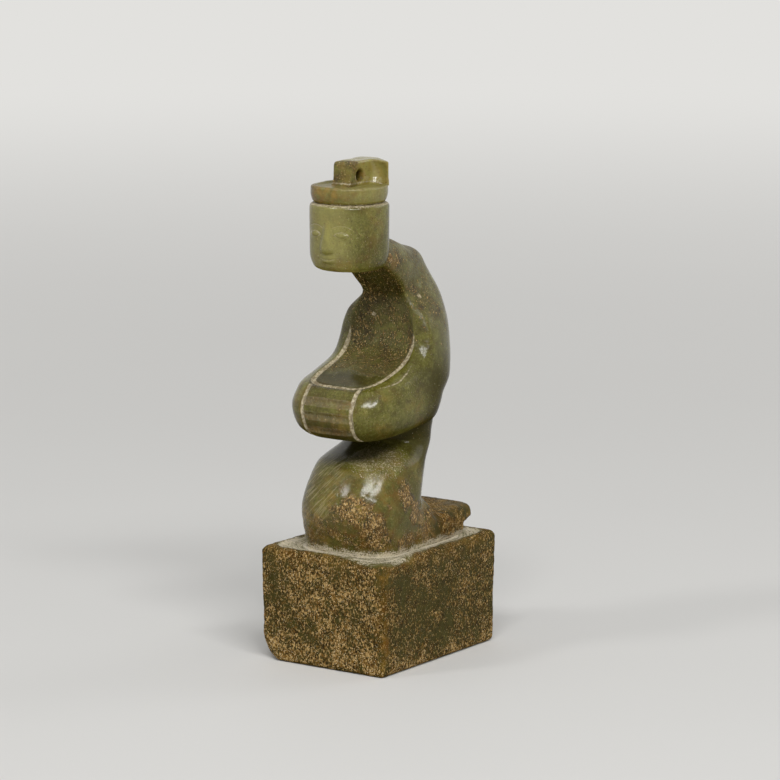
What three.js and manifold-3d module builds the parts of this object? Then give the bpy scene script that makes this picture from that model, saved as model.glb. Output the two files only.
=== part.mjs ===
// Seal stamp carved from one green stone: an oblong block that prints, and a kneeling attendant
// in a long robe and a crested cap as its handle. Each mesh is one region of the carving, divided
// where the carver's own grooves and changes of form divide it.
// Millimetres, +Z up. The origin is the middle of the sealing face and the figure faces -Y.

import * as THREE from 'three';
import { mergeVertices } from 'three/addons/utils/BufferGeometryUtils.js';
import Module from 'manifold-3d';

// Block
const blockWidth = 24.5;
const blockDepth = 32;
const blockHeight = 18.8;
const blockTaper = 0.4;
const blockCornerRadius = 0.7;
const blockEdgeRound = 0.6;
const rimWidth = 1.4;
const trackDepth = 0.6;

// Sealing face: a border round a lozenge lattice, left standing in a sunk field
const faceThickness = 2.6;
const engravingDepth = 0.8;
const borderWidth = 1.5;
const barWidth = 0.9;
const latticePitch = 5.2;
const latticeTurn = 35;

// Kneeling robe, from the block's track up to the waist
const robeHeight = 17.3;
const footHalfWidth = 8.7;
const footFront = 12;
const footBack = 3.2;
const kneeRise = 6.6;
const kneeHalfWidth = 9.2;
const kneeFront = 13.8;
const kneeBack = 2.6;
const kneeMiddle = 4;
const thighShare = 0.63;
const thighHalfWidth = 8.4;
const thighFront = 10.8;
const thighBack = 4.6;
const thighMiddle = 1.4;
const waistHalfWidth = 6.8;
const waistFront = 2.2;
const waistBack = 8.2;
const waistFlare = 0.7;

// Feet, tucked back behind the robe
const feetHalfWidth = 8.8;
const feetTaper = 1.3;
const feetStart = 2.2;
const feetEnd = 15.6;
const heelHeight = 8.1;
const heelLength = 2.2;
const heelJoinHeight = 7.2;
const soleHeight = 4.6;
const feetTipHeight = 4.6;
const feetRootInset = 1.8;
const feetSideHeight = 1;
const feetUndercut = 2.4;
const feetUndercutReach = 2.8;

// Upper body: sleeves joined over the lap, round back, neck that leans forward
const sleeveClearance = 1.5;
const sleeveHeight = 8.8;
const sleeveHalfWidth = 10;
const sleeveFront = 15;
const shoulderHalfWidth = 8.9;
const shoulderRise = 18.4;
const backDepth = 13.2;
const bodyMiddle = 2;
const sleeveMiddle = 0.8;
const neckHalfWidth = 4.6;
const neckLean = 54;

// Lap and chest, dished between the sleeves, with a line cut round the edge of the dish
const lapHalfWidth = 6.2;
const lapRim = 3;
const dishDepth = 1.3;
const grooveRadius = 0.4;

// Cuff panel between the two sleeve ends, fluted between two shares of the sweep's length
const cuffHalfWidth = 4.6;
const cuffDepth = 3.6;
const cuffLine = 0.35;
const fluteCount = 3;
const fluteRadius = 1.1;
const fluteDepth = 0.2;
const fluteLow = 0.139;
const fluteHigh = 0.222;

// Head
const headRadius = 6.1;
const headSquare = 2.3;
const headHeight = 10.7;
const headForward = 8.3;
const headLift = 28.4;
const chinRound = 2;
const neckClearance = 0.3;
const grooveBevel = 0.45;

// Face, laid out by thirds of its height, counted up from the chin, and fifths of its width
const browShare = 2;
const browReach = 0.62;
const browRise = 0.45;
const eyeShare = 1.7;
const upperLid = 0.5;
const lowerLid = 0.4;
const lowerLidReach = 0.46;
const mouthShare = 0.62;
const mouthReach = 0.55;
const mouthBow = 0.25;
const lineRadius = 0.16;
const noseHalfWidth = 0.9;
const noseRidge = 0.55;
const noseStand = 0.55;
const noseRootStand = 0.1;

// Cap and its crest
const capHeight = 2.8;
const capFlare = 0.25;
const capInset = 0.2;
const capRim = 0.7;
const capSink = 0.3;
const capEase = 0.25;
const crestHeight = 3.7;
const crestInset = 0.1;
const crestWall = 2.3;
const crestFillet = 1.3;
const crestRound = 1.4;
const finWidth = 3.5;
const finFront = 3.9;
const finFillet = 0.7;
const cordHoleRadius = 0.7;
const cordHoleHeight = 1.4;
const cordHoleBack = 0.25;
const cordWear = 0.4;

const footZ = blockHeight - trackDepth;
const sleeveZ = robeHeight + sleeveClearance;
const lapZ = sleeveZ + sleeveHeight;
const shoulderZ = sleeveZ + shoulderRise;
const chinZ = robeHeight + headLift;
const lapFront = sleeveFront - lapRim;

const wasm = await Module();
wasm.setup();

// A closed geometry becomes a solid that can be joined and cut.
function solid(geometry) {
  const bare = geometry.clone();
  bare.deleteAttribute('normal');
  bare.deleteAttribute('uv');
  const merged = mergeVertices(bare, 1e-4);
  return new wasm.Manifold(new wasm.Mesh({
    numProp: 3,
    vertProperties: new Float32Array(merged.attributes.position.array),
    triVerts: new Uint32Array(merged.index.array),
  }));
}

function geometryOf(body) {
  const mesh = body.getMesh();
  const geometry = new THREE.BufferGeometry();
  geometry.setAttribute('position', new THREE.BufferAttribute(mesh.vertProperties, 3));
  geometry.setIndex(new THREE.BufferAttribute(mesh.triVerts, 1));
  geometry.computeVertexNormals();
  return geometry;
}

function stone(name, body, color, roughness) {
  const material = new THREE.MeshStandardMaterial({ color, roughness, metalness: 0 });
  const mesh = new THREE.Mesh(geometryOf(body), material);
  mesh.name = name;
  return mesh;
}

function box(low, high) {
  const size = high.map((value, i) => value - low[i]);
  const geometry = new THREE.BoxGeometry(...size);
  geometry.translate(...low.map((value, i) => value + size[i] / 2));
  return solid(geometry);
}

// Smooth values through named sections: no value swings past the sections beside it.
function between(sections) {
  const keys = Object.keys(sections[0]);
  const stops = [0];
  for (let i = 1; i < sections.length; i++) {
    const step = keys.map((key) => Math.abs(sections[i][key] - sections[i - 1][key]));
    const travel = keys.map((key, k) => (key === 'lean' ? step[k] / 10 : step[k]));
    stops.push(stops[i - 1] + Math.max(...travel));
  }
  const slope = (key, i) => (sections[i + 1][key] - sections[i][key]) / (stops[i + 1] - stops[i]);
  const tangent = (key, i) => {
    if (i === 0) return slope(key, 0);
    if (i === sections.length - 1) return slope(key, i - 1);
    const before = slope(key, i - 1);
    const after = slope(key, i);
    return before * after <= 0 ? 0 : (2 * before * after) / (before + after);
  };
  return (share) => {
    const at = share * stops.at(-1);
    const i = Math.max(0, stops.findIndex((stop) => stop >= at - 1e-9) - 1);
    const span = stops[i + 1] - stops[i];
    const u = (at - stops[i]) / span;
    const result = {};
    for (const key of keys) {
      result[key] = (2 * u ** 3 - 3 * u ** 2 + 1) * sections[i][key]
        + (u ** 3 - 2 * u ** 2 + u) * span * tangent(key, i)
        + (3 * u ** 2 - 2 * u ** 3) * sections[i + 1][key]
        + (u ** 3 - u ** 2) * span * tangent(key, i + 1);
    }
    return result;
  };
}

// One oval ring. It reaches front towards -Y and back towards +Y from its own y and z, and
// lean tips it forward in degrees. A higher square makes that half of the oval squarer.
function ovalRing(section, pointCount) {
  const lean = THREE.MathUtils.degToRad(section.lean);
  const points = [];
  for (let k = 0; k < pointCount; k++) {
    const angle = (2 * Math.PI * k) / pointCount;
    const across = Math.cos(angle);
    const along = Math.sin(angle);
    const power = along < 0 ? section.squareFront : section.squareBack;
    const reach = (Math.abs(across) ** power + Math.abs(along) ** power) ** (-1 / power);
    const depth = along * reach * (along < 0 ? section.front : section.back);
    points.push(new THREE.Vector3(
      across * reach * section.halfWidth,
      section.y + depth * Math.cos(lean),
      section.z + depth * Math.sin(lean),
    ));
  }
  return points;
}

// Rings of equal count, joined by strips and closed by a fan at each end.
function skin(rings) {
  const count = rings[0].length;
  const points = rings.flat();
  const faces = [];
  for (let i = 0; i < rings.length - 1; i++) {
    for (let k = 0; k < count; k++) {
      const a = i * count + k;
      const b = i * count + ((k + 1) % count);
      faces.push(a, b, b + count, a, b + count, a + count);
    }
  }
  for (const [i, turn] of [[0, -1], [rings.length - 1, 1]]) {
    const centre = points.length;
    points.push(rings[i].reduce((sum, p) => sum.add(p), new THREE.Vector3()).divideScalar(count));
    for (let k = 0; k < count; k++) {
      const edge = [i * count + k, i * count + ((k + 1) % count)];
      faces.push(centre, ...(turn > 0 ? edge : edge.reverse()));
    }
  }
  const geometry = new THREE.BufferGeometry().setFromPoints(points);
  geometry.setIndex(faces);
  return geometry;
}

function loft(sections, ringCount, pointCount) {
  const at = between(sections);
  const rings = [];
  for (let i = 0; i <= ringCount; i++) rings.push(ovalRing(at(i / ringCount), pointCount));
  return solid(skin(rings));
}

// A round groove cutter that follows a smooth line through a few points.
function grooveCutter(points, radius, steps) {
  const path = new THREE.CatmullRomCurve3(points, false, 'centripetal');
  const outline = new THREE.Shape().absarc(0, 0, radius, 0, 2 * Math.PI, false);
  return solid(new THREE.ExtrudeGeometry(outline, {
    steps,
    curveSegments: 4,
    bevelEnabled: false,
    extrudePath: path,
  }));
}

function roundedOblong(width, depth, radius) {
  const x = width / 2;
  const y = depth / 2;
  const shape = new THREE.Shape();
  shape.absarc(x - radius, y - radius, radius, 0, Math.PI / 2);
  shape.absarc(radius - x, y - radius, radius, Math.PI / 2, Math.PI);
  shape.absarc(radius - x, radius - y, radius, Math.PI, 1.5 * Math.PI);
  shape.absarc(x - radius, radius - y, radius, 1.5 * Math.PI, 2 * Math.PI);
  return shape;
}

// An upright slab with its top or bottom edges eased by a small round.
function slab(width, depth, low, high, radius, ease) {
  const geometry = new THREE.ExtrudeGeometry(
    roundedOblong(width - 2 * ease, depth - 2 * ease, Math.max(radius - ease, 0.1)),
    {
      depth: high - low - 2 * ease,
      curveSegments: 4,
      bevelEnabled: ease > 0,
      bevelThickness: ease,
      bevelSize: ease,
      bevelSegments: 2,
    },
  );
  geometry.translate(0, 0, low + ease);
  return geometry;
}

// The block draws in slightly from its top down to its sealing face.
function blockForm() {
  const geometry = slab(blockWidth, blockDepth, 0, blockHeight, blockCornerRadius, blockEdgeRound);
  const place = geometry.attributes.position;
  for (let i = 0; i < place.count; i++) {
    const drawn = blockTaper * (1 - place.getZ(i) / blockHeight);
    place.setX(i, place.getX(i) * (1 - (2 * drawn) / blockWidth));
  }
  return solid(geometry);
}

function blockBody() {
  const trackWidth = blockWidth - 2 * rimWidth;
  const trackLength = blockDepth - 2 * rimWidth;
  const track = slab(trackWidth, trackLength, footZ, blockHeight + rimWidth, 2 * rimWidth, 0);
  const aboveFace = box(
    [-blockWidth, -blockDepth, faceThickness],
    [blockWidth, blockDepth, blockHeight + rimWidth],
  );
  return blockForm().intersect(aboveFace).subtract(solid(track));
}

function faceBody() {
  const fieldWidth = blockWidth - 2 * blockTaper - 2 * borderWidth;
  const fieldDepth = blockDepth - 2 * borderWidth;
  const cutTop = faceThickness - engravingDepth;
  let field = solid(slab(fieldWidth, fieldDepth, -cutTop, engravingDepth, blockCornerRadius, 0));
  const reach = Math.hypot(fieldWidth, fieldDepth) / 2;
  const barCount = Math.ceil(reach / latticePitch);
  for (const turn of [-latticeTurn, latticeTurn]) {
    for (let i = -barCount; i <= barCount; i++) {
      const bar = new THREE.BoxGeometry(barWidth, 2 * reach, 2 * faceThickness);
      bar.translate(i * latticePitch, 0, 0);
      bar.rotateZ(THREE.MathUtils.degToRad(turn));
      field = field.subtract(solid(bar));
    }
  }
  const belowBlock = box(
    [-blockWidth, -blockDepth, -faceThickness],
    [blockWidth, blockDepth, faceThickness],
  );
  return blockForm().intersect(belowBlock).subtract(field);
}

// From here up everything is measured from the floor of the block's track. A section of the
// robe reaches from front to back, and is widest where its middle lies.
function robeSection(z, middle, halfWidth, front, back, square) {
  return {
    y: -middle, z, lean: 0, halfWidth, front: front - middle, back: back + middle,
    squareFront: square, squareBack: square,
  };
}

const waistSection = (z, flare = 0) => robeSection(
  z,
  (waistFront - waistBack) / 2,
  waistHalfWidth + flare,
  waistFront,
  waistBack,
  2.4,
);

// A side view, drawn as depth and height, carried right across the figure.
function acrossBody(shape, halfWidth) {
  const geometry = new THREE.ExtrudeGeometry(shape, {
    depth: 2 * halfWidth, curveSegments: 6, bevelEnabled: false,
  });
  geometry.translate(0, 0, -halfWidth);
  geometry.applyMatrix4(new THREE.Matrix4().makeBasis(
    new THREE.Vector3(0, 1, 0),
    new THREE.Vector3(0, 0, 1),
    new THREE.Vector3(1, 0, 0),
  ));
  return solid(geometry);
}

// Knees and shins, with the feet that run back from under them.
function legsForm() {
  const thighZ = kneeRise + (robeHeight - kneeRise) * thighShare;
  const robe = loft([
    robeSection(0, kneeMiddle - 0.5, footHalfWidth, footFront, footBack, 3.2),
    robeSection(kneeRise, kneeMiddle, kneeHalfWidth, kneeFront, kneeBack, 2.6),
    robeSection(thighZ, thighMiddle, thighHalfWidth, thighFront, thighBack, 2.5),
    waistSection(robeHeight),
  ], 18, 40);
  const section = (y, halfWidth, top) => ({
    y, z: feetSideHeight, lean: 90, halfWidth, front: 2 * feetSideHeight,
    back: top - feetSideHeight, squareFront: 4, squareBack: 4,
  });
  const feet = loft([
    section(feetEnd, feetHalfWidth - feetTaper, feetTipHeight),
    section(feetStart + heelLength, feetHalfWidth, soleHeight),
    section(feetStart, feetHalfWidth, heelHeight),
    section(-kneeMiddle, feetHalfWidth - feetRootInset, kneeRise),
  ], 12, 32);
  const undercut = new THREE.Shape();
  undercut.moveTo(feetEnd - feetUndercutReach, 0);
  undercut.lineTo(feetEnd - feetUndercutReach, -feetUndercut);
  undercut.lineTo(feetEnd + feetUndercutReach, -feetUndercut);
  undercut.lineTo(feetEnd + feetUndercutReach, feetUndercut);
  undercut.lineTo(feetEnd, feetUndercut);
  const ground = box([-blockWidth, -blockDepth, -robeHeight], [blockWidth, blockDepth, 0]);
  return robe.add(feet.subtract(ground)).subtract(acrossBody(undercut, blockWidth));
}

const legs = legsForm();
const feetSpace = box([-blockWidth, feetStart, -1], [blockWidth, blockDepth, heelJoinHeight]);

// Sleeves and back in one sweep, from the sleeves' underside to the neck behind the chin.
function bodySections() {
  const middle = bodyMiddle;
  const front = sleeveFront + middle;
  const back = backDepth - middle;
  const wide = sleeveHalfWidth;
  const shoulder = shoulderHalfWidth;
  const neckY = headRadius - headForward;
  const section = (z, lean, halfWidth, forward, behind, squareFront, y = middle) => ({
    y, z, lean, halfWidth, front: forward, back: behind, squareFront, squareBack: 2.2,
  });
  return [
    section(sleeveZ + 0.8, 7, wide - 3.8, front - 7.6, back - 4.8, 3, sleeveMiddle + 0.4),
    section(sleeveZ + 1.4, 7, wide - 1.7, front - 3.7, back - 3.9, 3.4, sleeveMiddle + 0.4),
    section(sleeveZ + sleeveHeight * 0.36, 6, wide - 0.4, front - 1.9, back - 3.7, 3.8, sleeveMiddle),
    section(sleeveZ + sleeveHeight * 0.6, 2, wide, front - 1.2, back - 3, 4, sleeveMiddle),
    section(sleeveZ + sleeveHeight * 0.9, 0, wide - 0.2, front - 1.7, back - 1.2, 3.8),
    section(lapZ + 0.7, 0, wide - 0.4, front - 6.2, back - 0.4, 3.4),
    section(lapZ + 3, 2, shoulder + 0.5, 5.4, back - 0.1, 3),
    section(lapZ + 6.4, 6, shoulder, 2.6, back - 0.4, 2.6),
    section(shoulderZ, 16, shoulder - 1.2, 1.8, back - 1, 2.4),
    section(chinZ - 5, 30, shoulder - 4.6, 1, back - 1.6, 2.2, middle - 0.6),
    section(chinZ - 1.9, neckLean - 10, neckHalfWidth + 0.2, 1.8, back - 4.6, 2.2, neckY + 1.8),
    section(chinZ + 0.7, neckLean, neckHalfWidth, 2, back - 6.4, 2.2, neckY - 1.6),
    section(chinZ + 2.6, neckLean + 14, neckHalfWidth - 0.8, 1, back - 8.6, 2.2, neckY - 4.4),
  ];
}

const bodyForm = loft(bodySections(), 38, 44);

// Edge of the dish between the sleeves, from the front of the lap up to the neck: height over
// the lap, how far forward it lies and how far from the middle.
const dishEdge = [
  { up: 0.1, forward: lapFront - 1.2, half: lapHalfWidth - 0.9 },
  { up: 0.6, forward: lapFront - 3.5, half: lapHalfWidth - 0.1 },
  { up: 1.5, forward: lapFront - 6.6, half: lapHalfWidth + 0.1 },
  { up: 2.9, forward: lapFront - 9.9, half: lapHalfWidth },
  { up: 4.4, forward: lapFront - 11.7, half: lapHalfWidth - 0.1 },
  { up: 7.3, forward: lapFront - 12.7, half: lapHalfWidth - 0.3 },
  { up: 11.5, forward: lapFront - 12.5, half: lapHalfWidth - 1.2 },
  { up: 15, forward: lapFront - 10.8, half: lapHalfWidth - 2 },
  { up: 18.6, forward: lapFront - 7.2, half: lapHalfWidth - 2.6 },
];
const lineEnd = 6;

// The carver's line follows the edge up each sleeve and crosses the front of the lap.
function lapLine() {
  const left = dishEdge.slice(0, lineEnd).reverse()
    .map(({ up, forward, half }) => new THREE.Vector3(half, -forward, lapZ + up));
  left.push(new THREE.Vector3(lapHalfWidth * 0.5, -lapFront, lapZ));
  const right = left.map((point) => new THREE.Vector3(-point.x, point.y, point.z)).reverse();
  return [...left, ...right];
}

function chestHollow() {
  return loft(dishEdge.map(({ up, forward, half }) => ({
    y: -forward, z: lapZ + up, lean: 0, halfWidth: half, front: blockDepth, back: dishDepth,
    squareFront: 8, squareBack: 2.2,
  })), 18, 32);
}

const cuffSpace = (side) => box(
  [-cuffHalfWidth - side, -blockDepth, robeHeight],
  [cuffHalfWidth + side, cuffDepth - sleeveFront, lapZ + lapFront],
);

function headForm(spare) {
  const section = (z, inset) => {
    const radius = headRadius - inset + spare;
    return {
      y: 0, z, lean: 0, halfWidth: radius, front: radius, back: radius,
      squareFront: headSquare, squareBack: headSquare,
    };
  };
  return loft([
    section(0, chinRound * 0.8),
    section(chinRound * 0.3, chinRound * 0.34),
    section(chinRound * 1.3, 0.08),
    section(headHeight - grooveBevel, 0),
    section(headHeight, grooveBevel),
  ], 10, 40);
}

const lapGroove = grooveCutter(lapLine(), grooveRadius, 48);

function upperBody() {
  const plug = loft([waistSection(robeHeight), waistSection(sleeveZ + 2.4, waistFlare)], 1, 40);
  const head = headForm(neckClearance).translate([0, -headForward, chinZ]);
  return bodyForm
    .add(plug)
    .subtract(chestHollow())
    .subtract(lapGroove)
    .subtract(cuffSpace(cuffLine))
    .subtract(head);
}

// Flutes lie across the panel, evenly spaced down the front line of the sleeves.
function cuffBody() {
  let panel = bodyForm.intersect(cuffSpace(0)).subtract(lapGroove);
  const section = between(bodySections());
  const frontPoint = (share) => {
    const at = section(share);
    const lean = THREE.MathUtils.degToRad(at.lean);
    return new THREE.Vector2(at.y - at.front * Math.cos(lean), at.z - at.front * Math.sin(lean));
  };
  for (let i = 0; i < fluteCount; i++) {
    const share = fluteLow + ((fluteHigh - fluteLow) * i) / (fluteCount - 1);
    const point = frontPoint(share);
    const rise = frontPoint(share + 0.01).sub(frontPoint(share - 0.01)).normalize();
    const outward = new THREE.Vector2(-rise.y, rise.x).multiplyScalar(fluteRadius - fluteDepth);
    const flute = new THREE.CylinderGeometry(fluteRadius, fluteRadius, 3 * cuffHalfWidth, 14);
    flute.rotateZ(Math.PI / 2);
    flute.translate(0, point.x + outward.x, point.y + outward.y);
    panel = panel.subtract(solid(flute));
  }
  return panel;
}

// The face is a plain one: brow, nose and chin a third of its height apart, eyes a fifth of
// its width across. Every line lies on the round of the head.
function onHead(x, z, stand = 0) {
  const side = Math.min(Math.abs(x) / headRadius, 0.98);
  const depth = headRadius * (1 - side ** headSquare) ** (1 / headSquare);
  return new THREE.Vector3(x, -depth - stand, z);
}

function noseForm(low, high) {
  const rim = (halfWidth, z, stand) => [
    onHead(halfWidth, z, -1),
    onHead(-halfWidth, z, -1),
    onHead(-halfWidth * noseRidge, z, stand),
    onHead(halfWidth * noseRidge, z, stand),
  ];
  return solid(skin([rim(noseHalfWidth, low, noseStand), rim(noseHalfWidth / 2, high, noseRootStand)]));
}

function headBody() {
  const third = headHeight / 3;
  const eyeWidth = (2 * headRadius) / 5;
  const arc = (middle, half, z, rise) => [-1, -0.5, 0, 0.5, 1].map((share) => (
    onHead(middle + share * half, z + rise * (1 - share * share))
  ));
  const lines = [arc(0, eyeWidth * mouthReach, mouthShare * third, -mouthBow)];
  for (const side of [-1, 1]) {
    lines.push(arc(side * eyeWidth, eyeWidth / 2, eyeShare * third, upperLid));
    lines.push(arc(side * eyeWidth, eyeWidth * lowerLidReach, eyeShare * third, -lowerLid));
    lines.push(arc(side * eyeWidth, eyeWidth * browReach, browShare * third, browRise));
  }
  return lines.reduce(
    (head, line) => head.subtract(grooveCutter(line, lineRadius, 8)),
    headForm(0).add(noseForm(third, browShare * third)),
  );
}

// The cap flares a little from its groove up to its rim and is sunk inside the rim.
function capSection(z, inset) {
  const radius = headRadius - inset;
  return {
    y: 0, z, lean: 0, halfWidth: radius, front: radius, back: radius,
    squareFront: headSquare, squareBack: headSquare,
  };
}

function capBody() {
  const bead = loft([
    capSection(0, grooveBevel + capFlare + capInset),
    capSection(grooveBevel, capFlare + capInset),
    capSection(capHeight * 0.6, capInset),
    capSection(capHeight - capEase, capFlare),
    capSection(capHeight, capFlare + capEase),
  ], 8, 40);
  const sink = loft([
    capSection(capHeight - capSink, capFlare + capEase + capRim),
    capSection(capHeight + 1, capFlare + capEase + capRim),
  ], 1, 40);
  return bead.subtract(sink.subtract(crestColumn()));
}

// Plan of the crest, carried straight up: a fin that runs forward from a wall round the back.
function crestColumn() {
  const fin = finWidth / 2;
  const inner = headRadius - crestWall;
  const front = headRadius - finFront + finFillet;
  const far = 2 * headRadius;
  const turn = Math.PI / 2;
  const shape = new THREE.Shape();
  shape.moveTo(fin, -front);
  shape.absarc(fin + crestFillet, inner - crestFillet, crestFillet, 2 * turn, turn, true);
  shape.lineTo(far, inner);
  shape.lineTo(far, far);
  shape.lineTo(-far, far);
  shape.lineTo(-far, inner);
  shape.absarc(-fin - crestFillet, inner - crestFillet, crestFillet, turn, 0, true);
  shape.lineTo(-fin, -front);
  const wall = new THREE.ExtrudeGeometry(shape, {
    depth: capHeight + 2 * crestHeight, curveSegments: 6, bevelEnabled: false,
  });
  return solid(wall);
}

// Side view of the crest: a small fillet at the fin's foot and a round at its top.
function crestSide() {
  const front = finFront - headRadius;
  const top = capHeight + crestHeight;
  const turn = Math.PI / 2;
  const shape = new THREE.Shape();
  shape.moveTo(front - finFillet, capHeight);
  shape.absarc(front - finFillet, capHeight + finFillet, finFillet, -turn, 0, false);
  shape.absarc(front + crestRound, top - crestRound, crestRound, 2 * turn, turn, true);
  shape.lineTo(2 * headRadius, top);
  shape.lineTo(2 * headRadius, capHeight);
  return acrossBody(shape, 2 * headRadius);
}

// The cord hole is worn to a funnel at both mouths.
function crestBody() {
  const top = capHeight + crestHeight;
  const drum = loft([
    capSection(capHeight, crestInset),
    capSection(top - crestInset, crestInset),
    capSection(top, 2 * crestInset),
  ], 3, 40);
  const hole = new THREE.LatheGeometry([
    new THREE.Vector2(0, -finWidth),
    new THREE.Vector2(cordHoleRadius + 2 * cordWear, -finWidth),
    new THREE.Vector2(cordHoleRadius + cordWear, -finWidth / 2),
    new THREE.Vector2(cordHoleRadius, cordWear - finWidth / 2),
    new THREE.Vector2(cordHoleRadius, finWidth / 2 - cordWear),
    new THREE.Vector2(cordHoleRadius + cordWear, finWidth / 2),
    new THREE.Vector2(cordHoleRadius + 2 * cordWear, finWidth),
    new THREE.Vector2(0, finWidth),
  ], 16);
  hole.rotateZ(Math.PI / 2);
  hole.translate(0, cordHoleBack, capHeight + cordHoleHeight);
  return crestColumn().intersect(crestSide()).intersect(drum).subtract(solid(hole));
}

const jade = 0x7b8440;
const crust = 0x8a6a38;

const block = new THREE.Group();
block.add(stone('seal_block', blockBody(), crust, 0.75));
block.add(stone('seal_face', faceBody(), crust, 0.8));

const head = new THREE.Group();
head.position.set(0, -headForward, chinZ);
head.add(stone('head', headBody(), jade, 0.3));
const cap = new THREE.Group();
cap.position.set(0, 0, headHeight);
cap.add(stone('cap_band', capBody(), jade, 0.3));
cap.add(stone('cap_crest', crestBody(), jade, 0.35));
head.add(cap);

const figure = new THREE.Group();
figure.position.set(0, 0, footZ);
figure.add(stone('kneeling_robe', legs.subtract(feetSpace), jade, 0.35));
figure.add(stone('tucked_feet', legs.intersect(feetSpace), crust, 0.6));
figure.add(stone('upper_body', upperBody(), jade, 0.25));
figure.add(stone('cuff_panel', cuffBody(), jade, 0.3));
figure.add(head);

const group = new THREE.Group();
group.add(block, figure);

export default group;
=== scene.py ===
# %% [markdown]
# A seal stamp, carved from one green stone: an oblong block that prints, with a kneeling
# attendant as its handle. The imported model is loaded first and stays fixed. It says where every
# region of the carving lies, and all the lengths below are millimetres in its frame: the floor
# is z = 0, the figure faces -Y, and its left is +X.

# %% Load the frame
import math
from functools import partial
from itertools import product
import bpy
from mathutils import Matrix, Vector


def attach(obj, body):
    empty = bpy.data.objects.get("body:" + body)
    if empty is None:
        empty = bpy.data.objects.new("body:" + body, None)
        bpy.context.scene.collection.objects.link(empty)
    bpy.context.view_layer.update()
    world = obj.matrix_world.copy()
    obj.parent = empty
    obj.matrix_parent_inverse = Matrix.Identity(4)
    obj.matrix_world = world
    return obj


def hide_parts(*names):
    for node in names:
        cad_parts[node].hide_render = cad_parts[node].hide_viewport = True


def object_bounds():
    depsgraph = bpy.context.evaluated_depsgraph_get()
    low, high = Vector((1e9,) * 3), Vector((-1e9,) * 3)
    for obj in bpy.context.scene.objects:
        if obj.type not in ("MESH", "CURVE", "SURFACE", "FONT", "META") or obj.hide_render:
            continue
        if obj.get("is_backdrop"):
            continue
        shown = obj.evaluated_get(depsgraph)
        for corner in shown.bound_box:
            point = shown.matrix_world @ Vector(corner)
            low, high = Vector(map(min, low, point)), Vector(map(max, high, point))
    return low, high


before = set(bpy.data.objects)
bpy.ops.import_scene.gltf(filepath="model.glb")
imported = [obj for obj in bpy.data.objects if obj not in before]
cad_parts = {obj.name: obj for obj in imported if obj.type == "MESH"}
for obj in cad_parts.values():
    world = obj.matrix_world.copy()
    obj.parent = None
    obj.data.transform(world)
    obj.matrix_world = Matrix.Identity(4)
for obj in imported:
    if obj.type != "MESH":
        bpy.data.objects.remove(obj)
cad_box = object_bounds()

from types import SimpleNamespace

import bpy
import bmesh
import numpy as np
import openvdb as vdb
from mathutils import Vector

MILLIMETRE = 0.001
scene = bpy.context.scene


def placed(name, data):
    """An object in the scene that shows a mesh, a camera or a lamp."""
    item = bpy.data.objects.new(name, data)
    scene.collection.objects.link(item)
    return item


low_corner, high_corner = (np.array(corner) / MILLIMETRE for corner in cad_box)
print("regions of the carving:", sorted(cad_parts))
print("whole seal in mm:", (high_corner - low_corner).round(2))

# %% [markdown]
# The camera stands where the photographer stood: 35 degrees round from the front and a little
# above the seal, with a long lens. A long lens keeps the block's edges nearly parallel, as in a
# catalogue picture. The shift moves the picture a few pixels without turning the camera.

# %% Camera
VIEW_AZIMUTH = math.radians(35)
VIEW_ELEVATION = math.radians(10.5)
VIEW_DISTANCE = 0.646
view_centre = Vector((0, 0, 0.040375))
level = math.cos(VIEW_ELEVATION)
towards_camera = Vector((
    math.sin(VIEW_AZIMUTH) * level,
    -math.cos(VIEW_AZIMUTH) * level,
    math.sin(VIEW_ELEVATION),
))
camera_data = bpy.data.cameras.new("catalogue_camera")
camera_data.lens = 184.6
camera_data.sensor_width = 36
camera_data.shift_x = 0.0135
camera_data.shift_y = 0.0209
camera_data.clip_start = 0.01
camera = placed("catalogue_camera", camera_data)
camera.location = view_centre + VIEW_DISTANCE * towards_camera
camera.rotation_euler = towards_camera.to_track_quat("Z", "Y").to_euler()
scene.camera = camera
print("camera at", tuple(round(value, 3) for value in camera.location))

# %% [markdown]
# Colours are written as the numbers that a picture program shows, 0 to 255, and turned into the
# linear values that light is calculated with. All node trees, for materials and for geometry, are
# built with one small helper: it adds a node, sets the inputs that are plain values and links
# those that are other nodes' outputs. The nodes that come most often have short names of their own.


# %% Colours and nodes
def tone(*shown):
    """A colour as seen on a screen, turned into linear values."""
    parts = [value / 255 for value in shown]
    return tuple(p / 12.92 if p <= 0.04045 else ((p + 0.055) / 1.055) ** 2.4 for p in parts) + (1,)


def node(tree, kind, settings=None, **inputs):
    """Adds a node. An input is named by its label, or as in_2 by its place in the list."""
    item = tree.nodes.new(kind)
    for name, value in (settings or {}).items():
        setattr(item, name, value)
    for name, value in inputs.items():
        place = int(name[3:]) if name.startswith("in_") else name.replace("_", " ")
        socket = item.inputs[place]
        if isinstance(value, bpy.types.Node):
            value = value.outputs[0]
        if isinstance(value, bpy.types.NodeSocket):
            tree.links.new(value, socket)
        else:
            socket.default_value = value
    return item


def tree_of(*values):
    """The node tree of the first value that comes from a node."""
    made = (value for value in values if isinstance(value, (bpy.types.Node, bpy.types.NodeSocket)))
    return next(made).id_data


def calc(operation, *values, clamp=False):
    inputs = {"in_%d" % k: value for k, value in enumerate(values)}
    settings = {"operation": operation, "use_clamp": clamp}
    return node(tree_of(*values), "ShaderNodeMath", settings, **inputs).outputs[0]


def soft_step(value, start, end):
    return node(tree_of(value), "ShaderNodeMapRange", {"interpolation_type": "SMOOTHSTEP"}, Value=value,
                From_Min=float(start), From_Max=float(end)).outputs[0]


def mix(share, a, b):
    return node(tree_of(share, a, b), "ShaderNodeMix", {"data_type": "RGBA"},
                in_0=share, in_6=a, in_7=b).outputs[2]


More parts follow.
